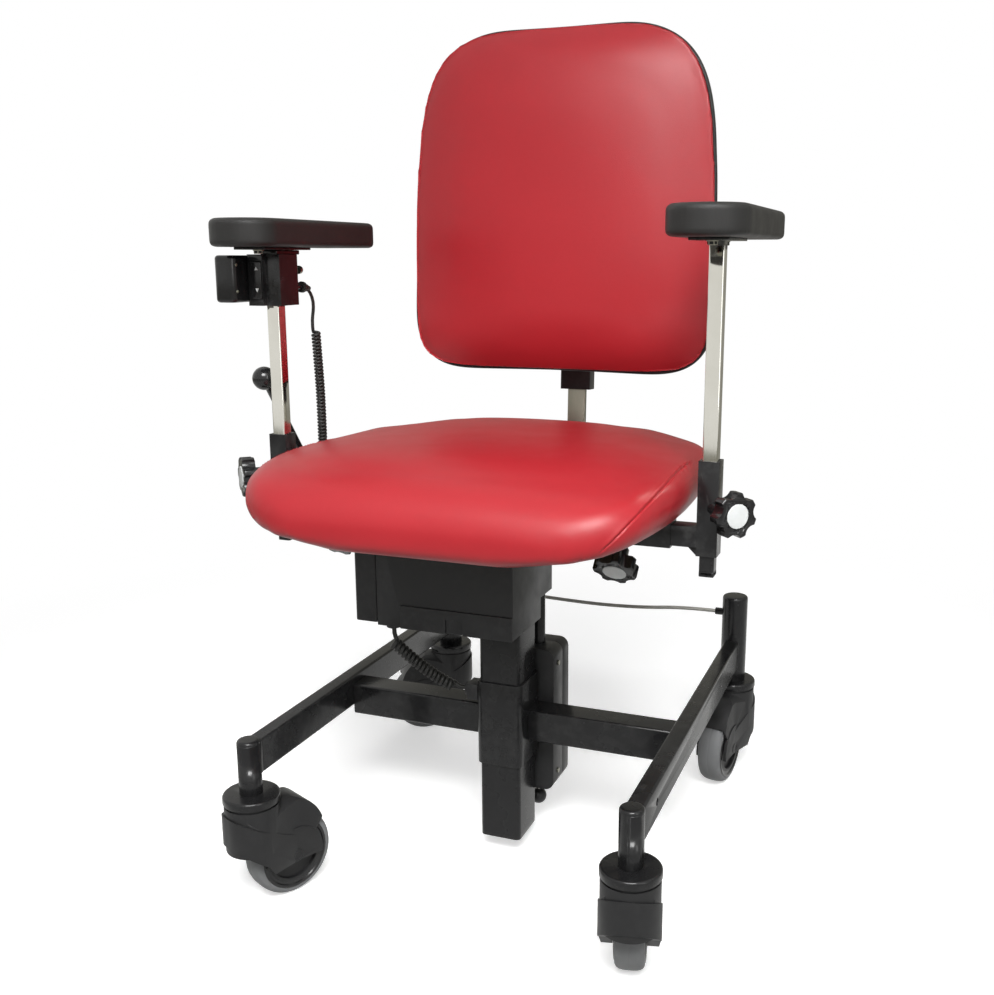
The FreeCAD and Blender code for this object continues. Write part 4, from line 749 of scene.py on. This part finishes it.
def laid_on(obj, route):
    """A route's smooth line laid on the surface of a cover."""
    surface = surface_of(obj)
    return [surface.find_nearest(point)[0] for point in line_of(in_metres(route), 16)]


def refined(obj, line, reach, times):
    """Splits the faces near a line, so that a fine relief fits there."""
    near = KDTree(len(line))
    for i, place in enumerate(line):
        near.insert(place, i)
    near.balance()
    bm = bmesh.new()
    bm.from_mesh(obj.data)
    for step in range(times):
        band = reach * (1 - 0.3 * step)
        edges = [e for e in bm.edges if near.find((e.verts[0].co + e.verts[1].co) / 2)[2] < band]
        bmesh.ops.subdivide_edges(bm, edges=edges, cuts=1, use_grid_fill=True)
    bm.to_mesh(obj.data)
    bm.free()
    obj.data.shade_smooth()


def sewn(obj, route, depth, width, puckers, pucker_from):
    """Draws a seam into a cover: a fine groove with a raised fold beside it, gathered toward its end."""
    laid = laid_on(obj, route)
    refined(obj, laid, 11 * MM, 2)
    points, out = points_of(obj.data), points_of(obj.data, "normal")
    line = np.array([tuple(p) for p in laid])
    ways = np.gradient(line, axis=0)
    ways /= np.linalg.norm(ways, axis=1, keepdims=True)
    near = np.flatnonzero(np.all((points > line.min(0) - 0.03) & (points < line.max(0) + 0.03), axis=1))
    gaps = points[near, None, :] - line[None, :, :]
    best = np.argmin(np.linalg.norm(gaps, axis=2), axis=1)
    pick = np.arange(len(near))
    side = np.sum(np.cross(ways[best], out[near]) * gaps[pick, best], axis=1)
    away = np.linalg.norm(gaps[pick, best], axis=1)
    along = best / (len(line) - 1)
    ends = np.minimum(1, np.minimum(along, 1 - along) / 0.04) * (away < 12 * MM)
    side *= math.copysign(1, line[0, 0])
    groove = np.exp(-((side / width) ** 2))
    fold = np.exp(-(((side + 3 * width) / (2 * width)) ** 2))
    push = -depth * groove + 0.5 * depth * fold
    gather = np.clip((along - pucker_from) / (1 - pucker_from), 0, 1)
    push += puckers * gather * np.sin(along * 90 + side / (2 * width)) * np.exp(-((side / (5 * width)) ** 2))
    points[near] += (push * ends)[:, None] * out[near]
    put_points(obj.data, points)
    return laid


def stitches(name, obj, laid, pitch, gap, body):
    """Thread beside a seam, one short dash after another."""
    surface = surface_of(obj)
    data = bpy.data.curves.new(name, "CURVE")
    data.dimensions = "3D"
    data.bevel_depth = 0.36 * MM
    data.bevel_resolution = 2
    data.use_fill_caps = True
    run, last = 0.0, 0.0
    inward = -math.copysign(1, laid[0].x)
    for a, b in zip(laid, laid[1:]):
        run += (b - a).length
        if run - last < pitch:
            continue
        last = run
        way = (b - a).normalized()
        place, normal = surface.find_nearest(b)[:2]
        aside = way.cross(normal) * inward * math.copysign(1, way.cross(normal).x) * gap
        spline = data.splines.new("POLY")
        spline.points.add(2)
        for point, (shift, lift) in zip(spline.points, ((-0.34, -0.25), (0, 0.28), (0.34, -0.25))):
            spot, up = surface.find_nearest(place + aside + way * pitch * shift)[:2]
            point.co = (*(spot + up * lift * MM), 1)
    curve = bpy.data.objects.new(f"{name}_line", data)
    scene.collection.objects.link(curve)
    thread = linked(name, evaluated(curve), THREAD)
    thread.data.shade_smooth()
    bpy.data.objects.remove(curve)
    adds_to(thread, body)


def seat_held(points, out):
    """The part of the seat's cover that is tacked to the pan."""
    x, y, z = points.T
    on_pan = (np.abs(x) < 0.205) & (y > -0.250) & (y < 0.133) & (z < 0.469)
    return on_pan | (out[:, 2] < -0.7)


def rear_rounded(points):
    """The seat's rear corners, rounder in plan and falling away."""
    from_x, from_y, long, deep = 0.130, 0.030, 0.100, 0.117
    core, power = 0.5, 3.5
    u = np.clip((np.abs(points[:, 0]) - from_x) / long, 0, None)
    v = np.clip((points[:, 1] - from_y) / deep, 0, None)
    reach = np.hypot(u, v)
    turn = np.arctan2(v, u)
    outline = (np.cos(turn) ** power + np.sin(turn) ** power) ** (-1 / power)
    wanted = np.where(reach > core, core + (reach - core) * (1 - core) / (outline - core), reach)
    scale = np.where((u > 0) & (v > 0), wanted / np.maximum(reach, 1e-9), 1.0)
    moved = points.copy()
    moved[:, 0] += np.sign(points[:, 0]) * u * (scale - 1) * long
    moved[:, 1] += v * (scale - 1) * deep
    corner = np.clip(np.minimum(u, 1) * np.minimum(v, 1), 0, 1)
    top = np.clip((points[:, 2] - 0.472) / 0.05, 0, 1)
    moved[:, 2] -= 0.018 * corner * top
    return moved


SEAT_SEAM = [(188, -281, 455), (198, -276.5, 465.5), (206, -270, 474.5), (214, -258, 485), (220.6, -237.5, 494),
             (225, -209, 501.5), (226.6, -172, 506.5), (226, -135, 509.2), (224.5, -104, 509.5), (223.8, -76, 508.7),
             (224.4, -46, 506.5)]
seat = cushion("seat_cushion", 5 * MM, 4 * MM, 4 * MM, seat_held, form=rear_rounded)
for side, sign in (("right", 1), ("left", -1)):
    laid = sewn(seat, [(sign * x, y, z) for x, y, z in SEAT_SEAM], 1.1 * MM, 1.0 * MM, 0.5 * MM, 0.66)
    stitches(f"seat_stitches_{side}", seat, laid, 4.2 * MM, 2.6 * MM, "lift")
stands_for(seat, "seat_cushion")

back_out, back_up = np.array(lean @ -FRONT), np.array(lean @ UP)
back = cushion("back_cushion", 5 * MM, 3 * MM, 4 * MM, lambda points, out: out @ back_out > 0.6, 14)
back_points = points_of(back.data)
back_middle = 0.5 * (back_points.min(0) + back_points.max(0))


def back_polar(points):
    """Places on the back's own plane, as an angle and a reach from its middle, and their depth."""
    apart = points - back_middle
    across, height = apart[:, 0], apart @ back_up
    return np.arctan2(height, across), np.hypot(across, height), apart @ back_out


def outward(angle, by):
    """Moves on the back's own plane, away from its middle."""
    return np.outer(by * np.cos(angle), (1, 0, 0)) + np.outer(by * np.sin(angle), back_up)


RIM_STEPS = 360
rim_angles = np.linspace(-math.pi, math.pi, RIM_STEPS, endpoint=False)


def back_rim(evened):
    """The cover's outline, as a reach for each angle round the back's middle, evened out that many times."""
    angle, reach, _ = back_polar(back_points)
    cell = np.round((angle + math.pi) / (2 * math.pi) * RIM_STEPS).astype(int) % RIM_STEPS
    rim = np.zeros(RIM_STEPS)
    np.maximum.at(rim, cell, reach)
    rim = np.maximum(rim, np.maximum(np.roll(rim, 1), np.roll(rim, -1)) * 0.998)
    for _ in range(evened):
        rim = 0.5 * rim + 0.25 * (np.roll(rim, 1) + np.roll(rim, -1))
    return rim


rim_raw, rim_reach = back_rim(5), back_rim(40)


def at_angle(angle, rim):
    return np.interp(angle, rim_angles, rim, period=2 * math.pi)


def crowned(obj, fall, taper, reach):
    """Lets the front of the back's cover fall away toward its edges and its sides lean in."""
    points, out = points_of(obj.data), points_of(obj.data, "normal")
    angle, away, _ = back_polar(points)
    rim = at_angle(angle, rim_raw)
    shift = (at_angle(angle, rim_reach) / rim - 1) * away * np.clip(away / rim, 0, 1) ** 3
    points += outward(angle, shift)
    angle, away, _ = back_polar(points)
    inward = np.clip((at_angle(angle, rim_reach) - away) / reach, 0, 1)
    facing = np.clip(-(out @ back_out), 0, 1)
    points += (fall * (1 - inward) ** 2 * facing)[:, None] * back_out
    angle, away, depth = back_polar(points)
    ahead = np.clip((depth.max() - 6 * MM - depth) / (40 * MM), 0, 1)
    points -= outward(angle, taper * ahead**1.3 * (1 - inward) ** 2)
    put_points(obj.data, points)
    with_modifier(obj, "SMOOTH", factor=0.5, iterations=4)
    obj.data.shade_smooth()


def rim_loop(inset, depth):
    """A loop of places that far inside the cover's outline, at a depth from the back's middle."""
    return back_middle + outward(rim_angles, rim_reach - inset) + depth * back_out


crowned(back, 9 * MM, 13 * MM, 80 * MM)
stands_for(back, "back_cushion")


def lofted(name, loops, material, closed):
    """A skin through loops of places, closed on itself or capped at both ends."""
    bm = bmesh.new()
    rows = [[bm.verts.new(place) for place in loop] for loop in loops]
    for low, high in zip(rows, rows[1:] + rows[:1] * closed):
        for i in range(RIM_STEPS):
            j = (i + 1) % RIM_STEPS
            bm.faces.new((low[i], low[j], high[j], high[i]))
    if not closed:
        bm.faces.new(rows[0])
        bm.faces.new(rows[-1])
    bmesh.ops.recalc_face_normals(bm, faces=bm.faces)
    return smoothed(linked(name, mesh_from(bm, name), material), 50)


def back_rear():
    """The back's shell and the black welt between the shell and the cover."""
    _, _, depth = back_polar(points_of(nodes["back_shell"].data))
    front, rear = depth.min(), depth.max()
    steps = [(2.0, 0), (1.8, 4), (2.0, 8), (2.8, 10.5), (4.2, 12.3), (6.2, 13.4), (9, 14)]
    share = (rear - front) / steps[-1][1]
    shell = [rim_loop(inset * MM, front + behind * share) for inset, behind in steps]
    stands_for(lofted("back_shell_finish", shell, MATERIALS["black_plastic"], False), "back_shell")
    radius, around = 3.2 * MM, 12
    turns = [2 * math.pi * k / around for k in range(around)]
    welt = [rim_loop(1.5 * MM - radius * math.cos(t), front - 0.6 * MM + radius * math.sin(t)) for t in turns]
    adds_to(lofted("back_piping", welt, PIPING, True), "back")


back_rear()

for side in ("left", "right"):
    arm_pad = cushion(f"arm_pad_{side}", 2 * MM, 0.0, 0.8 * MM, lambda points, out: out[:, 2] < 0.9, 1, False)
    places = points_of(arm_pad.data)
    under = places[:, 2].min()
    places[:, 2] = under + 0.95 * (places[:, 2] - under)
    put_points(arm_pad.data, places)
    stands_for(arm_pad, f"arm_pad_{side}")

# What still shows of the CAD model takes its slot's material.
for node in nodes:
    if not nodes[node].hide_render:
        nodes[node].data.materials.clear()
        nodes[node].data.materials.append(MATERIALS[SLOT_OF[node]])


# Stage and light.
def shown_to(tree, rays, plain, seen):
    """A shader that shows the given kinds of ray one thing and everything else another."""
    path = add_node(tree, "ShaderNodeLightPath")
    share = path.outputs[rays[0]]
    for name in rays[1:]:
        share = add_node(tree, "ShaderNodeMath", {0: share, 1: path.outputs[name]}, operation="MAXIMUM").outputs[0]
    return add_node(tree, "ShaderNodeMixShader", {0: share, 1: plain, 2: seen}).outputs[0]


# What metal and gloss reflect: a direction, where its edge starts and ends, and how much it takes off white.
ROOM_SHADES = [
    ((0.05, 0.97, 0.2), (0.55, 0.92), 0.8),
    ((0.9, 0.3, 0.2), (0.75, 0.97), 0.3),
]


def room_level(tree):
    """How bright the reflected room is in each direction."""
    where = add_node(tree, "ShaderNodeTexCoord").outputs["Generated"]
    level = 1.0
    for way, (low, high), share in ROOM_SHADES:
        toward = add_node(tree, "ShaderNodeVectorMath", {0: where, 1: Vector(way).normalized()},
                          operation="DOT_PRODUCT").outputs["Value"]
        shade = add_node(tree, "ShaderNodeMapRange", {"Value": toward, "From Min": low, "From Max": high, "To Min": 1.0,
                                                      "To Max": 1.0 - share},
                         interpolation_type="SMOOTHSTEP").outputs["Result"]
        level = add_node(tree, "ShaderNodeMath", {0: level, 1: shade}, operation="MULTIPLY").outputs[0]
    return level


def make_floor():
    """A pale floor that keeps the shadow, turns white with distance and is dimmer in reflections and bounces."""
    bpy.ops.mesh.primitive_circle_add(vertices=96, radius=14, fill_type="NGON", location=(0, 0, 0))
    floor = bpy.context.object
    floor.name = "floor"
    paint = Paint("floor")
    paint.set(Specular_IOR_Level=0.1)
    base = paint.colours(paint.noise(0.8, 2), [(0.3, (0.84, 0.84, 0.838)), (0.7, (0.86, 0.86, 0.858))])
    floor.data.materials.append(paint.finish(base, paint.between(paint.noise(0.2, 2), 0.7, 0.8)))

    def emission(colour, strength):
        return paint.node("ShaderNodeEmission", {"Color": colour, "Strength": strength}).outputs[0]

    def mixed(share, a, b):
        return paint.node("ShaderNodeMixShader", {0: share, 1: a, 2: b}).outputs[0]

    away = paint.node("ShaderNodeVectorMath", {0: paint.where}, operation="LENGTH").outputs["Value"]
    far = paint.between(away, 0.0, 1.0, (0.55, 1.5))
    farther = paint.between(away, 0.0, 1.0, (1.3, 3.0))
    near = paint.node("ShaderNodeAddShader", {0: paint.shader.outputs[0], 1: emission(WHITE, 0.5)}).outputs[0]
    seen = mixed(far, near, emission(WHITE, 1.0))
    gloss = mixed(farther, emission((1, 1, 0.98, 1), 0.85), emission((1, 0.97, 0.84, 1), 0.3))
    bounce = paint.node("ShaderNodeBsdfDiffuse", {"Color": (0.42, 0.42, 0.41, 1)}).outputs[0]
    shown = shown_to(paint.tree, ("Is Glossy Ray",), bounce, gloss)
    shown = shown_to(paint.tree, ("Is Camera Ray", "Is Transmission Ray"), shown, seen)
    paint.tree.links.new(shown, paint.tree.nodes["Material Output"].inputs["Surface"])


def make_world():
    """Faint even light, white to the camera, and the room that metal and gloss reflect."""
    world = bpy.data.worlds.new("studio")
    scene.world = world
    world.use_nodes = True
    tree = world.node_tree
    light = tree.nodes["Background"]
    light.inputs["Color"].default_value = WHITE
    light.inputs["Strength"].default_value = 0.2
    seen = add_node(tree, "ShaderNodeBackground", {"Color": WHITE, "Strength": 1.0})
    tint = add_node(tree, "ShaderNodeValToRGB", {"Fac": room_level(tree)})
    tint.color_ramp.elements[0].color = (0.16, 0.15, 0.105, 1)
    tint.color_ramp.elements[1].color = (1, 0.995, 0.97, 1)
    room = add_node(tree, "ShaderNodeBackground", {"Color": tint.outputs["Color"]})
    shown = shown_to(tree, ("Is Glossy Ray",), light.outputs[0], room.outputs[0])
    shown = shown_to(tree, ("Is Camera Ray", "Is Transmission Ray"), shown, seen.outputs[0])
    tree.links.new(shown, tree.nodes["World Output"].inputs["Surface"])


def lamp(name, place, target, size, power, spread=180, mirrored=True):
    """A soft panel aimed at a point, which may be left out of reflections."""
    data = bpy.data.lights.new(name, "AREA")
    data.shape = "RECTANGLE"
    data.size, data.size_y = size
    data.energy = power
    data.spread = math.radians(spread)
    obj = bpy.data.objects.new(name, data)
    obj.visible_glossy = mirrored
    obj.location = place
    obj.rotation_euler = (Vector(target) - Vector(place)).to_track_quat("-Z", "Y").to_euler()
    scene.collection.objects.link(obj)


make_floor()
make_world()
lamp("key", (0.55, -1.55, 2.0), (0.03, -0.28, 0.42), (1.2, 0.9), 11, 64)
lamp("front", (0.5, -1.5, 1.3), (0, 0.1, 0.75), (0.8, 0.9), 2.6, 90, False)
lamp("fill", (2.0, -1.2, 1.3), (0, 0, 0.7), (0.5, 1.3), 8)
lamp("rear", (-0.5, 2.2, 0.9), (0, 0, 0.6), (1.2, 1.0), 9, 180, False)
